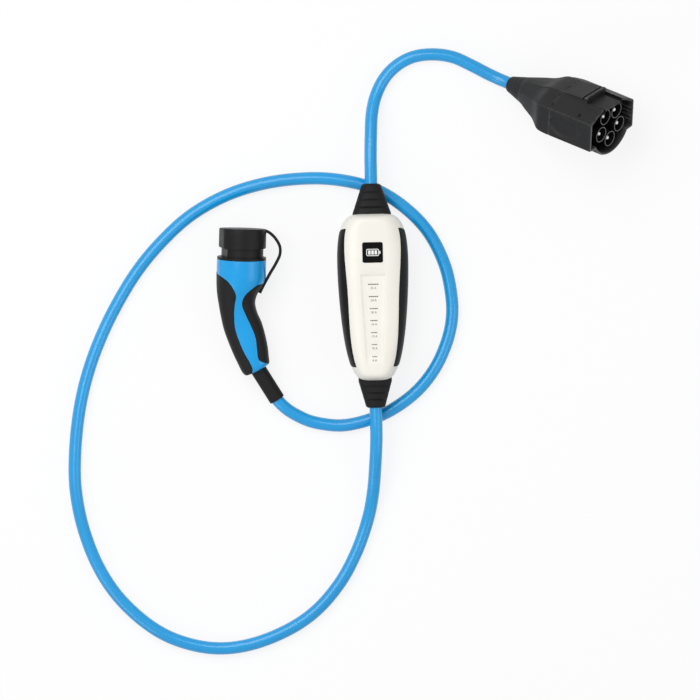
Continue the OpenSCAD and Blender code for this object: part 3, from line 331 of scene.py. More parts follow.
def layPatch(name, node, cfg, point, flip=False):  # point(row share, column share, lift)
    def spread(line):
        spots = [line(k / spreadSteps) for k in range(spreadSteps + 1)]
        return sum((b - a).length for a, b in zip(spots, spots[1:]))
    verts, lift, skirt = [], cfg["lift"], cfg["skirt"] / cfg["lift"]
    rowLines = rimLines(cfg["rows"], spread(lambda f: point(f, 0.5, 0.0)), skirt)
    for r, high in rowLines:
        colLines = rimLines(cfg["cols"], spread(lambda f: point(r, f, 0.0)), skirt)
        verts += [point(r, c, lift * min(high, h)) for c, h in colLines]
    faces = gridFaces(len(rowLines), len(colLines), flip=flip)
    return makePiece(name, verts, faces, cfg["look"], [node], slot=cfg["slot"])

# cords, on the same points as the solids

cordCfg = dict(diameter=0.017, step=6, roundness=8)
supplyRoute = [(0, 127, 34), (0, 151, 34), (0, 185, 33.5), (1, 215, 29), (3, 245, 20), (9, 270, 12), (21, 293, 8.8),
    (38, 310, 8.6), (60, 321, 8.6), (86, 324, 8.6), (113, 320, 8.6), (137, 309, 8.6), (159, 297, 8.6),
    (171, 291, 9), (177, 288, 10.2), (184, 285, 12.4), (190.335, 281.905, 16.127), (222.965, 267.104, 37.656)]
chargingRoute = [(0, -127, 34), (0, -151, 34), (0, -190, 33), (-2, -225, 26), (-6, -265, 14), (-14, -302, 8.8)] + [
    (x, y, 8.6) for x, y in (
        (-30, -345), (-53, -386), (-86, -423), (-126, -449), (-176, -467), (-224, -471), (-272, -460), (-312, -438),
        (-351, -401), (-379, -357), (-398, -305), (-407, -254), (-407, -206), (-401, -153), (-390, -105), (-373, -58),
        (-350, -11), (-320, 37), (-286, 77), (-245, 113), (-197, 139), (-147, 154), (-96, 160), (-48, 158), (0, 146),
        (40, 122), (74, 87), (96, 43), (105, 0), (105, -35), (96, -69), (78, -104), (50, -135), (10, -160),
        (-35, -173), (-69, -172))] + [
    (-101, -162, 9.6), (-132.596, -137.329, 14.484), (-170.505, -74.148, 21.338), (-178.154, -24.526, 26.838)]

def layCord(name, route, node):
    line = smoothLine(route, cordCfg["step"])
    data = bpy.data.curves.new(name, "CURVE")
    data.dimensions = "3D"
    data.bevel_depth = cordCfg["diameter"] / 2
    data.bevel_resolution = cordCfg["roundness"]
    data.use_fill_caps = True
    spline = data.splines.new("POLY")
    spline.points.add(len(line) - 1)
    for p, q in zip(spline.points, line):
        p.co = (*(q * mm), 1)
    spline.use_smooth = True
    data.materials.append(paint["cableBlue"])
    obj = addObject(name, data)
    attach(obj, "charger")
    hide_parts(node)
    return obj, sum((b - a).length for a, b in zip(line, line[1:])) * mm

supplyCord, supplyLength = layCord("supplyCord", supplyRoute, "supply_cable")
chargingCord, chargingLength = layCord("chargingCord", chargingRoute, "charging_cable")
print("cords laid, m:", round(supplyLength, 3), round(chargingLength, 3))

# floor, world and lamps

stageCfg = dict(floor=8, floorGrey=0.93, white=0.82, worldLevel=0.42)

def seenNode(tree):  # 1 for what is seen straight, mirrored or through something
    path = tree.nodes.new("ShaderNodeLightPath")
    seen = mathNode(tree, "MAXIMUM", path.outputs["Is Camera Ray"], path.outputs["Is Glossy Ray"])
    return mathNode(tree, "MAXIMUM", seen, path.outputs["Is Transmission Ray"])

def makeStage():
    data = bpy.data.meshes.new("paleFloor")
    h = stageCfg["floor"] / 2
    data.from_pydata([(-h, -h, 0), (h, -h, 0), (h, h, 0), (-h, h, 0)], [], [(0, 1, 2, 3)])
    floor = addObject("paleFloor", data)
    mat = bpy.data.materials.new("paleFloor")
    mat.use_nodes = True
    tree = mat.node_tree
    tree.nodes.remove(tree.nodes["Principled BSDF"])
    diffuse = tree.nodes.new("ShaderNodeBsdfDiffuse")
    diffuse.inputs["Color"].default_value = (stageCfg["floorGrey"],) * 3 + (1,)
    glow = tree.nodes.new("ShaderNodeEmission")
    mix = tree.nodes.new("ShaderNodeMixShader")
    tree.links.new(mathNode(tree, "MULTIPLY", seenNode(tree), stageCfg["white"]), mix.inputs["Fac"])
    tree.links.new(diffuse.outputs[0], mix.inputs[1])
    tree.links.new(glow.outputs[0], mix.inputs[2])
    tree.links.new(mix.outputs[0], tree.nodes["Material Output"].inputs["Surface"])
    data.materials.append(mat)

def makeWorld():
    world = bpy.data.worlds.new("softRoom")
    scene.world = world
    world.use_nodes = True
    tree = world.node_tree
    back = tree.nodes["Background"]
    back.inputs["Color"].default_value = (1, 1, 1, 1)
    tree.links.new(mapRange(tree, seenNode(tree), 0.0, 1.0, stageCfg["worldLevel"]), back.inputs["Strength"])

lamps = [
    dict(name="bigSoftbox", at=(-0.9, 0.9, 2.4), aim=(0, -0.05, 0), size=(2.3, 1.9), power=46),
    dict(name="sideSoftbox", at=(1.6, -0.5, 1.5), aim=(0, -0.05, 0), size=(1.2, 1.2), power=7),
    dict(name="lowFill", at=(-1.4, -1.3, 1.2), aim=(-0.1, -0.1, 0), size=(1, 1), power=6),
]

def makeLamps():
    for cfg in lamps:
        data = bpy.data.lights.new(cfg["name"], "AREA")
        data.shape = "RECTANGLE"
        data.size, data.size_y = cfg["size"]
        data.energy = cfg["power"]
        lamp = addObject(cfg["name"], data)
        lamp.location = cfg["at"]
        lamp.rotation_euler = (Vector(cfg["aim"]) - Vector(cfg["at"])).to_track_quat("-Z", "Y").to_euler()

makeStage()
makeWorld()
makeLamps()
print("stage lit")

# materials on the solids that stay as they are

nodeFinish = {
    "caseCream": ["rear_shell"], "windowGloss": ["status_window"], "boardGreen": ["main_board", "light_board"],
    "screwSteel": ["board_screws", "case_screws"], "coilTape": ["current_sensor"], "lightClear": ["scale_lights"],
    "relayGrey": ["relays", "power_supply", "upper_clamp", "lower_clamp", "handle_clamp"],
    "blockGreen": ["input_terminals", "output_terminals"], "contactGold": ["power_contacts", "signal_contacts"],
    "sealGrey": ["case_gasket", "plug_seal"], "noseBlack": ["connector_nose"], "insertBlackAndPaintedShade": ["pin_carrier"],
    "pinNickel": ["contact_pins"],
}
for look, names in nodeFinish.items():
    for name in names:
        cadNode[name].data.materials.clear()
        dress(cadNode[name].data, look, sharp=32)
print("solids painted:", sum(map(len, nodeFinish.values())))

# skin of the box: a row above 0 is on the front dome, below 0 on the back

boxCfg = dict(mid=-2, halfLength=113, halfWidth=47.75, bowRadius=880, wideAt=55, axis=34, seam=0.8,
    endRound=11, endBow=1.6, planPower=5, slant=5, draw=(7, 12),
    front=dict(height=31, power=2.3, flat=(29, 40)), back=dict(height=34, power=3.4, flat=(44, 62)))

def rimPoint(a):
    x, q = squircle(a, boxCfg["planPower"])
    y = boxCfg["mid"] + q * (boxCfg["halfLength"] - boxCfg["endBow"] * x * x)
    return Vector((x * (boxCfg["halfWidth"] - (y - boxCfg["wideAt"]) ** 2 / (2 * boxCfg["bowRadius"])), y))

def flatPoint(a, ends):
    x, q = squircle(a, boxCfg["planPower"])
    low, top = ends
    return Vector((x * (low + (top - low) * (1 + q) / 2) / 2,
                   boxCfg["mid"] + q * (boxCfg["halfLength"] - boxCfg["endRound"])))

def skinPoint(a, row, off=0.0):
    side = boxCfg["front" if row >= 0 else "back"]
    n, t = side["power"], abs(row)
    if row > 0:
        t -= boxCfg["draw"][1 if sind(a) > 0 else 0] * sind(2 * a) ** 2 * sind(2 * row)
    b = a + boxCfg["slant"] * sind(2 * a) * abs(row) / 90
    rim, flat = rimPoint(b), flatPoint(b, side["flat"])
    run, high = flat - rim, side["height"] - boxCfg["seam"]
    c, s = max(1e-6, cosd(t)), max(0.0, sind(t))
    out, up = high * c ** (2 - 2 / n), run.length * s ** (2 - 2 / n)
    k = math.hypot(out, up)
    p = rim + run * (1 - c ** (2 / n)) - run.normalized() * (out / k * off)
    z = boxCfg["seam"] + high * s ** (2 / n) + up / k * off
    return Vector((p.x, p.y, boxCfg["axis"] + (z if row >= 0 else -z)))

# front of the box: dome, flat face and sunk scale field in one skin

faceCfg = dict(columns=240, rowStep=3, lip=2.2, fieldTop=28, fieldLow=-94, fieldHalf=(12, 17.7), depth=1.4,
    wall=3, topWall=1, fade=15, fieldSteps=40, wallShares=(0, 0.15, 0.35, 0.5, 0.65, 0.85, 1),
    floorShares=(0.5, 0, -0.5))
faceZ = boxCfg["axis"] + boxCfg["front"]["height"]

def fieldHalf(y):
    low, top = faceCfg["fieldHalf"]
    return low + (top - low) * (y - faceCfg["fieldLow"]) / (faceCfg["fieldTop"] - faceCfg["fieldLow"])

def faceHeight(x, y):
    cfg = faceCfg
    deep = smooth((cfg["fieldTop"] - y) / cfg["topWall"]) * smooth((y - cfg["fieldLow"]) / cfg["fade"])
    return faceZ - cfg["depth"] * deep * smooth((fieldHalf(y) - abs(x)) / cfg["wall"])

def fillFlat(verts, outer, hole, inHole):  # triangles between two loops of the same flat
    ids = outer + hole
    loops = [list(range(len(outer))), list(range(len(outer), len(ids)))]
    edges = [(l[k], l[(k + 1) % len(l)]) for l in loops for k in range(len(l))]
    spots, _, tris, source, _, _ = delaunay_2d_cdt([Vector(verts[i][:2]) for i in ids], edges, [], 1, 1e-6)
    keep = []
    for tri in tris:
        mid = sum((Vector(spots[i]) for i in tri), Vector((0, 0))) / 3
        if not inHole(mid.x, mid.y):
            keep.append([ids[source[i][0]] for i in tri])
    return keep

def makeFace():
    cfg, cols = faceCfg, faceCfg["columns"]
    angles = allRound(cols)
    rows = list(range(0, 91, cfg["rowStep"]))
    verts = [skinPoint(a, 0, -cfg["lip"]) for a in angles]
    for row in rows:
        verts += [skinPoint(a, row) for a in angles]
    faces = gridFaces(len(rows) + 1, cols, closed=True)
    ring = list(range(len(rows) * cols, (len(rows) + 1) * cols))
    low, steps, shares = cfg["fieldLow"], cfg["fieldSteps"], cfg["wallShares"]
    ys = [cfg["fieldTop"] - cfg["topWall"] * s for s in shares]
    ys += [ys[-1] + (low - ys[-1]) * k / steps for k in range(1, steps + 1)]
    start = len(verts)
    for y in ys:
        left = [cfg["wall"] * s - fieldHalf(y) for s in shares]
        xs = left + [left[-1] * f for f in cfg["floorShares"]] + [-x for x in reversed(left)]
        verts += [Vector((x, y, faceHeight(x, y))) for x in xs]
    wide, long = len(xs), len(ys)
    faces += gridFaces(long, wide, start=start, flip=True)
    hole = [start + k for k in range(wide)] + [start + k * wide + wide - 1 for k in range(1, long)]
    hole += [start + (long - 1) * wide + k for k in range(wide - 2, -1, -1)]
    hole += [start + k * wide for k in range(long - 2, 0, -1)]
    faces += fillFlat(verts, ring, hole, lambda x, y: low < y < cfg["fieldTop"] and abs(x) < fieldHalf(y))
    makePiece("caseFront", verts, faces, "caseCream", ["front_shell"], sharp=40, slot="case_cream")

# rubber strips that wrap the sides of the box

stripCfg = dict(plan=(-41.5, 40.5), dome=(-40, 56), bulge=(1.8, 22, 42), lift=0.45, skirt=3, rows=70,
    cols=44, look="stripRubber", slot="strip_black")

def makeStrip(name, node, right):
    (a0, a1), (s0, s1) = stripCfg["plan"], stripCfg["dome"]
    def point(r, c, off):
        a = a0 + (a1 - a0) * r
        more, at, reach = stripCfg["bulge"]  # wider by the box's widest place
        edge = s1 + more * smooth(1 - abs(a - at) / reach)
        return skinPoint(a if right else 180 - a, s0 + (edge - s0) * c, off)
    layPatch(name, node, stripCfg, point, flip=right)

# grooved boots, squarish at the box and round at the cable

boxBootCfg = dict(height=31, tip=25, power=3.2, grooves=3, first=0.2, span=0.76, deep=1.2, half=1.5,
    sideShare=0.15, round=3.4, seat=6, sides=96, step=0.5, cable=8.3, hole=4)

def makeBoxBoot(name, node, wide, length, root, way):
    cfg = boxBootCfg
    def dip(d):
        cuts = [cfg["first"] * length + g * cfg["span"] * length / cfg["grooves"] for g in range(cfg["grooves"])]
        groove = max(smooth(1 - abs(d - c) / cfg["half"]) for c in cuts) * cfg["deep"]
        past = min(1.0, max(0.0, (d - length + cfg["round"]) / cfg["round"]))
        return cfg["round"] * (1 - math.sqrt(1 - past * past)), groove
    def ring(d, cut, groove=0.0):  # the grooves are deep above and below, and shallow at the sides
        k = max(0.0, d / length)
        a = wide / 2 + (cfg["tip"] - wide) / 2 * k - cut - cfg["sideShare"] * groove
        b = cfg["height"] / 2 + (cfg["tip"] - cfg["height"]) / 2 * k - cut - groove
        power = cfg["power"] + (2 - cfg["power"]) * k
        corners = [squircle(angle, power) for angle in allRound(cfg["sides"])]
        return [Vector((a * x, root + way * d, boxCfg["axis"] + b * z)) for x, z in corners]
    count = round(length / cfg["step"])
    places = [-cfg["seat"]] + [length * i / count for i in range(count + 1)]
    verts = [p for d in places for p in ring(d, *dip(d))]
    for d in (length, length - cfg["hole"]):
        verts += ring(d, cfg["tip"] / 2 - cfg["cable"])
    faces = gridFaces(len(places) + 2, cfg["sides"], closed=True, flip=way > 0)
    makePiece(name, verts, faces, "bootRubber", [node], sharp=50, slot="boot_black")

# print on the face: scale bars with their figures, and a battery sign on the window

scaleCfg = dict(rows=(("32 A", 15.2, 14.2), ("24 A", -1.3, 12.3), ("20 A", -17.5, 10.9), ("16 A", -33.6, 9.5),
    ("13 A", -49.8, 8.3), ("10 A", -65.9, 7.2), ("6 A", -82.1, 6.3)),
    high=1.4, segments=5, split=0.35, drop=5.2, figure=4.1, bold=0.02, lift=0.04, round=0.3, roundSteps=3)
signCfg = dict(at=(0, 58), size=(17, 9.6), line=1, corner=1.9, bars=3, nub=(1.6, 4), nubGap=0.4,
    innerCorner=0.8, round=0.5, top=65.6, lift=0.03)

def roundRect(x, y, wide, high, r, steps=5):
    spots = []
    for k, (sx, sy) in enumerate(((1, 1), (-1, 1), (-1, -1), (1, -1))):
        for i in range(steps + 1):
            a = 90 * (k + i / steps)
            spots.append((x + sx * (wide / 2 - r) + r * cosd(a), y + sy * (high / 2 - r) + r * sind(a)))
    return spots

def textShape(words, size):
    data = bpy.data.curves.new("figures", "FONT")
    data.body, data.size, data.align_x, data.align_y = words, size, "CENTER", "CENTER"
    data.offset = scaleCfg["bold"]
    obj = addObject("figures", data)
    mesh = bpy.data.meshes.new_from_object(obj.evaluated_get(bpy.context.evaluated_depsgraph_get()))
    shape = [(v.co.x, v.co.y) for v in mesh.vertices], [list(p.vertices) for p in mesh.polygons]
    bpy.data.objects.remove(obj)
    bpy.data.curves.remove(data)
    bpy.data.meshes.remove(mesh)
    return shape

def makeScale():
    cfg, verts, faces = scaleCfg, [], []
    for words, y, wide in cfg["rows"]:
        each = (wide + cfg["split"]) / cfg["segments"]
        for k in range(cfg["segments"]):
            x = (k - (cfg["segments"] - 1) / 2) * each
            bar = roundRect(x, y, each - cfg["split"], cfg["high"], cfg["round"], cfg["roundSteps"])
            addPart(verts, faces, [(*p, faceHeight(*p) + cfg["lift"]) for p in bar], [list(range(len(bar)))])
        spots, polys = textShape(words, cfg["figure"])
        spots = [(px, py + y - cfg["drop"]) for px, py in spots]
        addPart(verts, faces, [(*p, faceHeight(*p) + cfg["lift"]) for p in spots], polys)
    makePiece("scalePrint", verts, faces, "printGrey")

def makeSign():
    cfg, verts, faces = signCfg, [], []
    (x, y), (wide, high), line = cfg["at"], cfg["size"], cfg["line"]
    z = cfg["top"] + cfg["lift"]
    outer = roundRect(x, y, wide, high, cfg["corner"])
    inner = roundRect(x, y, wide - 2 * line, high - 2 * line, cfg["corner"] - line * cfg["innerCorner"])
    addPart(verts, faces, [(*p, z) for p in inner + outer], gridFaces(2, len(outer), closed=True, flip=True))
    nubWide, nubHigh = cfg["nub"]
    room = wide - 4 * line
    each = room / cfg["bars"]
    blocks = [(x + wide / 2 + nubWide / 2 + cfg["nubGap"], nubWide, nubHigh)]
    blocks += [(x - room / 2 + each * (k + 0.5), each - line, high - 4 * line) for k in range(cfg["bars"])]
    for at, w, h in blocks:
        spots = roundRect(at, y, w, h, cfg["round"])
        addPart(verts, faces, [(*p, z) for p in spots], [list(range(len(spots)))])
    makePiece("windowSign", verts, faces, "printWhite")

makeFace()
makeStrip("leftStrip", "left_strip", right=False)
makeStrip("rightStrip", "right_strip", right=True)
makeBoxBoot("upperBoot", "upper_boot", wide=52, length=40, root=111, way=1)
makeBoxBoot("lowerBoot", "lower_boot", wide=45, length=36, root=-115, way=-1)
makeScale()
makeSign()
print("box dressed")

# handle of the connector. A section is: back edge, inner edge, half thickness, squareness, ends of the two grips

handleCfg = dict(at=(-176.5, 53, 35.5013), turn=-2.7, pitch=6.37718, columns=120, step=0.1, last=11.2,
    tailRound=3, rim=0.8, wall=3.2, bootHole=11.2, holeTaper=0.2, holeDeep=4, mouth=-4, rimBevel=0.3,
    tailShare=0.57, bootHeading=-56.5)
handleSections = [
    (-33.3, 0, 33.3, 0, 33.3, 2, 0, 1), (-33.3, -14, 33.3, -13, 33.3, 2, -0.09, 1),
    (-33, -27, 33, -24.5, 32.5, 2, 0.205, 1), (-32.4, -40, 29, -36, 30, 2.1, 0.375, 0.79),
    (-31, -51.5, 22.5, -46, 26.5, 2.2, 0.47, 0.68), (-29, -62, 19.5, -58, 24, 2.3, 0.445, 0.645),
    (-26, -77, 22.5, -71.5, 22, 2.4, 0.375, 0.69), (-21.5, -95, 29, -85.5, 21, 2.4, 0.305, 0.72),
    (-15, -112, 34, -101.5, 21, 2.4, 0.3, 0.745), (-8, -128, 37.7, -117, 21, 2.4, 0.325, 0.7),
    (-1, -142, 39.6, -130.5, 20.4, 2.4, 0.385, 0.69), (4, -151.5, 40.6, -138, 19.2, 2.3, 0.4, 0.92),
    (9, -158.2, 39.4, -142.4, 16.5, 2.2, 0.3, 0.98)]
tailAt = len(handleSections) - 1
handlePlace = Matrix.Translation(handleCfg["at"]) @ turn(handleCfg["turn"], "Z") @ turn(handleCfg["pitch"], "X")

def handleSection(t):
    i = min(int(t), tailAt - 1)
    return splinePoint(*fourNear(handleSections, i), t - i)

def handlePoint(row, phi, off=0.0):  # row: place along the handle, inset, shift back from the section
    t, inset, back = row
    s = handleSection(t)
    left, right = Vector(s[0:2]), Vector(s[2:4])
    d = (right - left).normalized()
    x, z = squircle(phi, s[5])
    p = (left + right) / 2 + d * (((right - left).length / 2 - inset + off) * x) + Vector((-d.y, d.x)) * back
    return handlePlace @ Vector((p.x, p.y, (s[4] - inset + off) * z))

def handleRows(first):
    last, step, r = handleCfg["last"], handleCfg["step"], handleCfg["tailRound"]
    rows = [(first + k * step, 0.0, 0.0) for k in range(int((last - first) / step) + 1)]
    run = tailAt - last  # the last stretch is rounded off
    return rows + [(last + run * sind(a), r * (1 - cosd(a)), 0.0) for a in range(10, 91, 10)]

tailSection = handleSections[tailAt]
tailMid = Vector(tailSection[0:2]).lerp(Vector(tailSection[2:4]), handleCfg["tailShare"])

def makeHandle():
    cfg = handleCfg
    rim, wall, bevel = cfg["rim"], cfg["wall"], cfg["rim"] * cfg["rimBevel"]
    rows = [(0, wall, cfg["mouth"]), (0, wall, 0.0), (0, rim, 0.0), (0, bevel, -bevel), (0, 0.0, -rim)]
    rows += handleRows(cfg["step"])
    verts = [handlePoint(row, phi) for row in rows for phi in allRound(cfg["columns"])]
    d = (Vector(tailSection[2:4]) - Vector(tailSection[0:2])).normalized()
    for r, back in ((cfg["bootHole"], 0.0), (cfg["bootHole"] - cfg["holeTaper"], cfg["holeDeep"])):
        for c, s in circle(cfg["columns"]):
            p = tailMid + d * (r * c) + Vector((-d.y, d.x)) * back
            verts.append(handlePlace @ Vector((p.x, p.y, r * s)))
    faces = gridFaces(len(rows) + 2, cfg["columns"], closed=True)
    return makePiece("handleBody", verts, faces, "handleBlue", ["handle_top", "handle_bottom"], sharp=50,
                     slot="handle_blue")

# soft grips laid on the handle

gripCfg = dict(lift=0.35, skirt=1.6, rows=110, cols=40, backFrom=1.27, fingerFrom=2.62, fingerPast=0.2, tip=0.006,
    look="gripRubber", slot="grip_black")

def gripAngle(share, n):
    x = 2 * share - 1
    p = 90.0 if abs(x) < 0.001 else math.degrees(math.atan((abs(x) ** -n - 1) ** (1 / n)))
    return p if x > 0 else 180 - p

def rowAt(rows, f):
    k = min(int(f * (len(rows) - 1)), len(rows) - 2)
    g = f * (len(rows) - 1) - k
    return tuple(a + (b - a) * g for a, b in zip(rows[k], rows[k + 1]))

def makeBackGrip():
    rows = handleRows(gripCfg["backFrom"])
    def point(r, c, off):
        row = rowAt(rows, r)
        s = handleSection(row[0])
        edge = gripAngle(max(gripCfg["tip"], s[6]), s[5])
        return handlePoint(row, edge + (360 - 2 * edge) * c, off)
    return layPatch("backGrip", "back_grip", gripCfg, point)

def makeFingerGrip():
    first, last = gripCfg["fingerFrom"], handleCfg["last"] + gripCfg["fingerPast"]
    def point(r, c, off):
        row = (first + (last - first) * r, 0.0, 0.0)
        s = handleSection(row[0])
        edge = gripAngle(min(1 - gripCfg["tip"], s[7]), s[5])
        return handlePoint(row, edge * (2 * c - 1), off)
    return layPatch("fingerGrip", "finger_grip", gripCfg, point)

# bend relief at the tail, cap over the nose and the cap's strap

handleBootCfg = dict(r=10.7, cable=8.4, inside=12, length=48, round=0.7, hole=5, rings=16, sides=72)
capCfg = dict(outer=(32.4, 29.2), wall=3, roll=15, span=(15.5, 41.5), round=2.2, lip=0.5, columns=180,
    corner=40, lean=0.06, middle=26, plate=12, sideRings=8, flatFrom=-0.3, flatClear=4)
strapCfg = dict(line=((30.6, 39.5), (37, 36.5), (44.3, 29.9), (49.8, 21.5), (51.7, 14.7), (51.3, 7), (49, 1),
    (44.6, -8), (39.7, -16.6), (35.8, -24), (32.5, -30.4), (29, -37.5), (25.6, -45)),
    half=(1.9, 2.1), wide=4, step=2, sides=24, power=4)

def makeHandleBoot():
    cfg = handleBootCfg
    place = handlePlace @ Matrix.Translation((*tailMid, 0)) @ turn(handleCfg["bootHeading"], "Z") @ turn(90, "Y")
    r, end, n = cfg["r"], cfg["length"], cfg["rings"]
    profile = [(-cfg["inside"], cfg["cable"]), (-cfg["inside"], r)] + [(end * k / n, r) for k in range(n)]
    profile += quarter(end, r, cfg["round"], range(0, 91, 30))
    profile += [(end, cfg["cable"]), (end - cfg["hole"], cfg["cable"])]
    skin = lathe(profile, place, cfg["sides"])
    return makePiece("handleBoot", *skin, "bootRubber", ["handle_boot"], sharp=50, slot="boot_black")

def capRing(y, inset, lean=0.0):
    cfg = capCfg
    r, flat = (v - inset for v in cfg["outer"])
    verts = []
    for a in allRound(cfg["columns"]):
        reach = flat / -cosd(a) if cosd(a) < cfg["flatFrom"] else cfg["flatClear"] * r
        m = cfg["corner"]  # how tight the flat's two corners are
        size = (r ** -m + reach ** -m) ** (-1 / m)
        b = a + cfg["roll"]
        verts.append(handlePlace @ Vector((size * cosd(b), y - size * sind(b) * lean, -size * sind(b))))
    return verts

def makeCap():
    cfg = capCfg
    low, top = cfg["span"]
    wall, r, lip, n = cfg["wall"], cfg["round"], cfg["lip"], cfg["sideRings"]
    rings = [(top - wall, cfg["middle"]), (top - wall, wall + 1), (top - wall - 1, wall), (low + lip, wall)]
    rings += [(low, wall - lip), (low, lip), (low + lip, 0.0)]
    rings += [(low + 1 + (top - r - low - 1) * k / n, 0.0) for k in range(n)]
    end = quarter(top, 0.0, r, range(0, 91, 15), side=1) + [(top, cfg["plate"]), (top, cfg["middle"])]
    verts = [v for y, inset in rings for v in capRing(y, inset)]
    verts += [v for y, inset in end for v in capRing(y, inset, cfg["lean"])]  # closed end stands upright
    rings += end
    cols = cfg["columns"]
    faces = gridFaces(len(rings), cols, closed=True) + lids(len(rings), cols)
    return makePiece("dustCap", verts, faces, "noseBlack", ["dust_cap"], body="cap", sharp=45, slot="nose_black")

def makeStrap():
    cfg = strapCfg
    line = smoothLine([(x, y, 0.0) for x, y in cfg["line"]], cfg["step"])
    verts, (slim, thick) = [], cfg["half"]
    for i, p in enumerate(line):
        d = (line[min(i + 1, len(line) - 1)] - line[max(i - 1, 0)]).normalized()
        side = Vector((-d.y, d.x, 0))
        f = i / (len(line) - 1)
        half = slim + (thick - slim) * f
        for a in allRound(cfg["sides"]):
            x, z = squircle(a, cfg["power"])
            verts.append(handlePlace @ (p + side * (half * x) + Vector((0, 0, cfg["wide"] * z))))
    faces = gridFaces(len(line), cfg["sides"], closed=True) + lids(len(line), cfg["sides"])
    strap = makePiece("capStrap", verts, faces, "bootRubber", ["cap_strap"], body=None, sharp=60, slot="boot_black")
    anchor, cap = (handlePlace @ Vector((*cfg["line"][k], 0)) * mm for k in (-1, 0))
    tuple(anchor)
    tuple(cap)
    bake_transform(strap)
    return strap

handleBody = makeHandle()
grips = [makeBackGrip(), makeFingerGrip()]
handleBoot, dustCap, capStrap = makeHandleBoot(), makeCap(), makeStrap()
print("connector dressed")

# supply plug. Its own frame: u across the ears, v towards the block on top, w out of the face

plugCfg = dict(at=(324.6, 221, 104.714), heading=-24.4, tilt=31, roll=53.4, ear=48, earTop=20, earLow=21,
    shoulder=33.5, crease=(0.54, 0.8), cuts=(1.6, 2.2, 0.7, 0.5), steps=(26, 5, 5, 0, 1, 2, 8), earShrink=0.75,
    under=42, underSteps=28, wall=3.4, block=21, blockTop=40, blockFall=9 / 70, blockLeast=1.5,
    blockShares=(0.35, 0.65), blockCut=0.2, blockRound=1.4, tongue=16.4, tongueTop=31, tongueRound=1,
    slitFloor=26.5, slitCut=0.25, slitEdge=(0.1, 0.6),
    slitInside=dict(across=(20.2, 18.6), drop=1.9, cut=0.2, slim=0.4, round=0.9), step=28, stepEdge=(0.7, 0.3),
    frontLength=70, slot=(33, 36, 36), slotEdge=0.3, rings=20, seam=(0.993, 0.93), inside=(-41, -20),
    lip=((0, -1.2), (0.15, -0.35), (0.38, 0), (0.62, 0), (0.86, -0.35), (1, -1.2)),
    scoop=dict(at=46, long=27, half=15, deep=2.6, edge=0.24),
    ribs=dict(at=(-9, -3, 3, 9), foot=(45.2, 0.9), crest=(42.8, 0.6), start=-34, stop=-1.5, taper=(0.7, 1.008)))
plugPlace = Matrix.Translation(plugCfg["at"])
plugTurns = (plugCfg["heading"], "Z"), (-plugCfg["tilt"], "Y"), (-plugCfg["roll"], "X"), (90, "Z"), (90, "X")
for degrees, axis in plugTurns:
    plugPlace = plugPlace @ turn(degrees, axis)

def roundedLine(corners):  # each corner: u, v, length cut for its rounding, points on the straight after it
    line, n = [], len(corners)
    for i, (u, v, cut, steps) in enumerate(corners):
        p, before, after = Vector((u, v)), Vector(corners[i - 1][:2]), Vector(corners[(i + 1) % n][:2])
        spots = [p]
        if cut:
            a, b = p + (before - p).normalized() * cut, p + (after - p).normalized() * cut
            spots = [a * (1 - f) ** 2 + p * (2 * f * (1 - f)) + b * f * f for f in (0, 0.33, 0.67, 1)]
        end = after + (p - after).normalized() * corners[(i + 1) % n][2]
        line += spots + [spots[-1].lerp(end, k / (steps + 1)) for k in range(1, steps + 1)]
    return line

def blockTop(depth):
    least = plugCfg["shoulder"] + plugCfg["blockLeast"]
    return max(least, plugCfg["blockTop"] - plugCfg["blockFall"] * (depth - plugCfg["step"]))

def plugLine(middle, inset=0.0):  # middle: three corners from the shoulder to the top, on the right side
    cfg = plugCfg
    ear, low, shoulder, under = (cfg[k] - inset for k in ("ear", "earLow", "shoulder", "under"))
    top, steps = cfg["earTop"] - inset * cfg["earShrink"], cfg["steps"]
    along, push = cfg["crease"]  # the slope above each ear is bent a little
    a, b = Vector((ear, top)), Vector((cfg["block"], shoulder))
    crease = a.lerp(b, along) + Vector((b.y - a.y, a.x - b.x)).normalized() * push
    right = [(*spot, cut) for spot, cut in zip(((ear, -low), (ear, top), crease, b), cfg["cuts"])] + [*middle]
    left = [(-u, v, cut, n) for (u, v, cut), n in zip(reversed(right), (*steps[-2::-1], 1))]
    right = [(*corner, n) for corner, n in zip(right, steps)]
    start = 180 + math.degrees(math.asin((low + 1) / under))
    count = cfg["underSteps"]
    arc = [start + (540 - 2 * start) * k / count for k in range(count + 1)]
    return roundedLine(right + left + [(under * cosd(a), under * sind(a), 0, 0) for a in arc])

def tongueLine(inset=0.0):
    tongue, floor, top = plugCfg["tongue"], plugCfg["slitFloor"], plugCfg["tongueTop"]
    if inset:  # the slit is narrower inside the wall
        cfg = plugCfg["slitInside"]
        slit = [(u, floor - cfg["drop"], cfg["cut"]) for u in cfg["across"]]
        return plugLine(slit + [(tongue - cfg["slim"], top - inset, cfg["round"])], inset)
    slit = [(u, floor, plugCfg["slitCut"]) for u in (plugCfg["block"], tongue)]
    return plugLine(slit + [(tongue, top, plugCfg["tongueRound"])])

def blockLine(top):
    block, low = plugCfg["block"], plugCfg["shoulder"]
    side = [(block, low + f * (top - low), plugCfg["blockCut"]) for f in plugCfg["blockShares"]]
    return plugLine(side + [(block, top, plugCfg["blockRound"])])

def plugSkin(rings, flip=True):  # each ring: its line, its place along w
    verts = [plugPlace @ Vector((*p, w)) for line, w in rings for p in line]
    return verts, gridFaces(len(rings), len(rings[0][0]), closed=True, flip=flip)

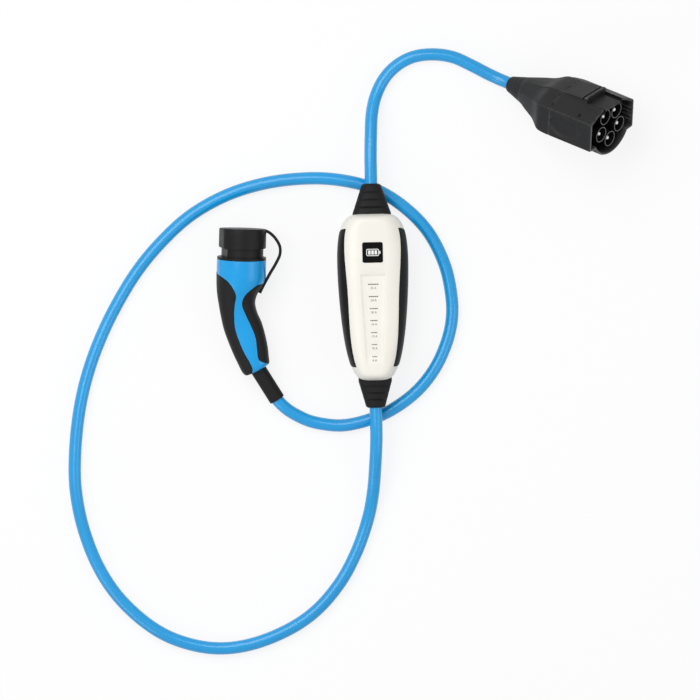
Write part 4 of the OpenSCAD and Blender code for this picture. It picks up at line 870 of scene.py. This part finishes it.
def scooped(line, depth):  # oval thumb hollow in the flat of each ear
    cfg = plugCfg["scoop"]
    def cut(p):
        inside = 1 - math.hypot((depth - cfg["at"]) / cfg["long"], p.y / cfg["half"])
        return cfg["deep"] * smooth(inside / cfg["edge"]) if abs(p.x) > plugCfg["ear"] - 1 else 0.0
    return [Vector((p.x - math.copysign(cut(p), p.x), p.y)) for p in line]

def makeRibs():  # short ribs on the inside of the ears
    cfg, verts, faces = plugCfg["ribs"], [], []
    (foot, wide), (crest, slim), (run, grow) = cfg["foot"], cfg["crest"], cfg["taper"]
    for side in (-1, 1):
        for v in cfg["at"]:
            across = ((foot, -wide), (crest, -slim), (crest, slim), (foot, wide))
            shape = [(side * a, v + b) for a, b in across]
            rings = [(shape, cfg["start"]), (shape, cfg["stop"] - run),
                     ([(a * grow, b) for a, b in shape], cfg["stop"])]
            rib, walls = plugSkin(rings, flip=side > 0)
            addPart(verts, faces, rib, walls + [lids(len(rings), len(shape))[1][::-side]])
    return verts, faces

def makePlugFront():
    cfg = plugCfg
    outer, inner = tongueLine(), tongueLine(cfg["wall"])
    step, end = cfg["step"], cfg["frontLength"]
    rings = [(inner, w) for w in cfg["inside"]]
    rings += [([a.lerp(b, f) for a, b in zip(inner, outer)], w) for f, w in cfg["lip"]]  # rounded rim of the wall
    slitRows = range(len(rings) - 1, len(rings) + int(step / 2) - 1)
    lipRows = range(len(rings) - 4, len(rings) - 2)
    rings += [(scooped(outer, d), -d) for d in range(2, int(step) + 1, 2)]
    drop, run = cfg["stepEdge"]
    rings += [(scooped(blockLine(cfg["blockTop"] - drop), step), -step - run)]
    (slotFrom, slotTo, slotFloor), e = cfg["slot"], cfg["slotEdge"]
    rings += [(scooped(blockLine(top), d), -d) for d, top in (
        (step + 1, blockTop(step)), (slotFrom - 2, blockTop(slotFrom - 2)), (slotFrom, blockTop(slotFrom)),
        (slotFrom + e, slotFloor), (slotTo - e, slotFloor), (slotTo, blockTop(slotTo)))]
    n = cfg["rings"]
    depths = [slotTo + 1 + (end - slotTo - 1.6) * k / n for k in range(n + 1)]  # to 0.6 mm before the seam
    rings += [(scooped(blockLine(blockTop(d)), d), -d) for d in depths]
    last = blockLine(blockTop(end))
    rings += [([p * f for p in last], -end) for f in cfg["seam"]]
    cols = len(outer)
    verts, faces = plugSkin(rings)
    addPart(verts, faces, *makeRibs())
    plug = makePiece("plugFront", verts, faces, "plugBlack", ["plug_front"], sharp=38, slot="plug_black")
    plug.data.materials.append(paint["insertBlackAndPaintedShade"])
    plug.data.materials.append(paint["paintedRimHighlight"])
    # the faces inside the slit get the deepest black as painted shade
    side, below = cfg["slitEdge"]
    slit, crown = (cfg["tongue"] - side, cfg["block"] + side), cfg["tongueTop"] - below
    inSlit = [slit[0] < abs(p.x) < slit[1] and 0 < p.y < crown for p in outer]
    low = [p.y < cfg["earTop"] for p in outer]  # the mouth's rim below the ears' upper corners gets a painted highlight
    for j in range(cols):
        k = (j + 1) % cols
        for rows, here, look in ((slitRows, inSlit[j] or inSlit[k], 1), (lipRows, low[j] and low[k], 2)):
            for i in rows if here else ():
                plug.data.polygons[i * cols + j].material_index = look
    return plug

# rear housing: depth, size of the section, share of roundness

plugRearCfg = dict(rings=((71, 1, 0), (81, 0.995, 0), (89, 0.975, 0), (95, 0.935, 0.03), (101, 0.89, 0.12),
    (110, 0.87, 0.33), (127, 0.87, 0.65), (144, 0.87, 1)), r=19, steps=6, seamRound=0.6, end=0.8)
plugBootCfg = dict(span=(143.6, 172), r=(19, 10.5), tip=1.4, grooves=(151, 157.5, 164), half=0.9, deep=0.8,
    cable=8.4, hole=4, rings=90, sides=72)

def makePlugRear():
    cfg = plugRearCfg
    around = [p.normalized() * cfg["r"] for p in blockLine(plugCfg["blockTop"])]
    places = []
    for i in range(len(cfg["rings"]) - 1):
        near = fourNear(cfg["rings"], i)
        places += [splinePoint(*near, f / cfg["steps"]) for f in range(cfg["steps"])]
    places.append(cfg["rings"][-1])
    first = blockLine(blockTop(places[0][0]))
    rings = [([p * f for p in first], -places[0][0]) for f in reversed(plugCfg["seam"])]
    for depth, size, share in places:
        line = blockLine(blockTop(depth))
        rings.append(([(p * size).lerp(q, min(1.0, max(0.0, share))) for p, q in zip(line, around)],
                      -max(depth, places[0][0] + cfg["seamRound"])))
    rings.append(([p * cfg["end"] for p in around], -places[-1][0]))
    return makePiece("plugRear", *plugSkin(rings), "plugBlack", ["plug_rear"], sharp=38, slot="plug_black")

def makePlugBoot():
    cfg = plugBootCfg
    (near, far), (big, small), tip = cfg["span"], cfg["r"], cfg["tip"]
    profile = [(-far + cfg["hole"], cfg["cable"]), (-far, cfg["cable"])]
    profile += [(-far + tip * (1 - cosd(a)), small - tip * (1 - sind(a))) for a in range(0, 91, 18)]
    for k in range(1, cfg["rings"] + 1):
        d = far - tip + (near - far + tip) * k / cfg["rings"]
        r = small + (big - small) * (far - d) / (far - near)
        profile.append((-d, r - cfg["deep"] * max(smooth(1 - abs(d - g) / cfg["half"]) for g in cfg["grooves"])))
    skin = lathe(profile, plugPlace, cfg["sides"])
    return makePiece("plugBoot", *skin, "plugBlack", ["plug_boot"], sharp=50, slot="boot_black")

# cups round the pins, with a painted highlight on the rim, and the two vents on the shoulders, dark insets of painted
# shade: a vent's ring has a size and a height

cupCfg = dict(circle=21, angles=(54, 126, 198, 270, 342), r=(11, 9.7), span=(-40, -2.5), round=0.5, sides=56)
ventCfg = dict(u=41, depth=25, half=(3.4, 1.7), rise=0.5, sides=28,
    rings=((1, -0.1), (0.97, 0.12), (0.85, 0.16), (0.72, 0.04), (0.5, 0.03)))

def makeCups():
    cfg, verts, faces, rimHighlightFaces = cupCfg, [], [], []
    (big, small), (low, top), e = cfg["r"], cfg["span"], cfg["round"]
    profile = [(low, big), (top - e, big)] + quarter(top, big, e, (30, 60, 90))
    profile += quarter(top, small, e, (90, 60, 30), side=1) + [(top - e, small), (low, small)]
    for angle in cfg["angles"]:
        place = plugPlace @ Matrix.Translation((cfg["circle"] * cosd(angle), cfg["circle"] * sind(angle), 0))
        rimHighlightFaces += [len(faces) + k for k in range(cfg["sides"], (len(profile) - 2) * cfg["sides"])]  # all but the walls
        addPart(verts, faces, *lathe(profile, place, cfg["sides"]))
    cups = makePiece("pinCups", verts, faces, "insertBlackAndPaintedShade", ["pin_cups"], sharp=60, slot="plug_black")
    cups.data.materials.append(paint["paintedRimHighlight"])
    # the cups' rims get the painted highlight
    for k in rimHighlightFaces:
        cups.data.polygons[k].material_index = 1
    return cups

def makeVents():
    cfg, verts, faces = ventCfg, [], []
    slope = math.atan2(plugCfg["earTop"] - plugCfg["shoulder"], plugCfg["ear"] - plugCfg["block"])
    v = plugCfg["earTop"] + (cfg["u"] - plugCfg["ear"]) * math.tan(slope) + cfg["rise"]
    for side in (-1, 1):
        place = plugPlace @ Matrix.Translation((side * cfg["u"], v, -cfg["depth"]))
        place = place @ Matrix.Rotation(side * slope, 4, "Z") @ turn(-90, "X")
        spots, rings, n = [], cfg["rings"], cfg["sides"]
        for size, high in rings:
            a, b = cfg["half"][0] * size, cfg["half"][1] * size
            spots += [place @ Vector((a * c, b * s, high)) for c, s in circle(n)]
        addPart(verts, faces, spots, gridFaces(len(rings), n, closed=True) + lids(len(rings), n)[1:])
    # the vents are shallow dark insets: painted shade where a real vent is cut
    return makePiece("plugVents", verts, faces, "insertBlackAndPaintedShade", slot="plug_black")

plugPieces = [makePlugFront(), makePlugRear(), makePlugBoot(), makeCups(), makeVents()]
print("plug dressed")
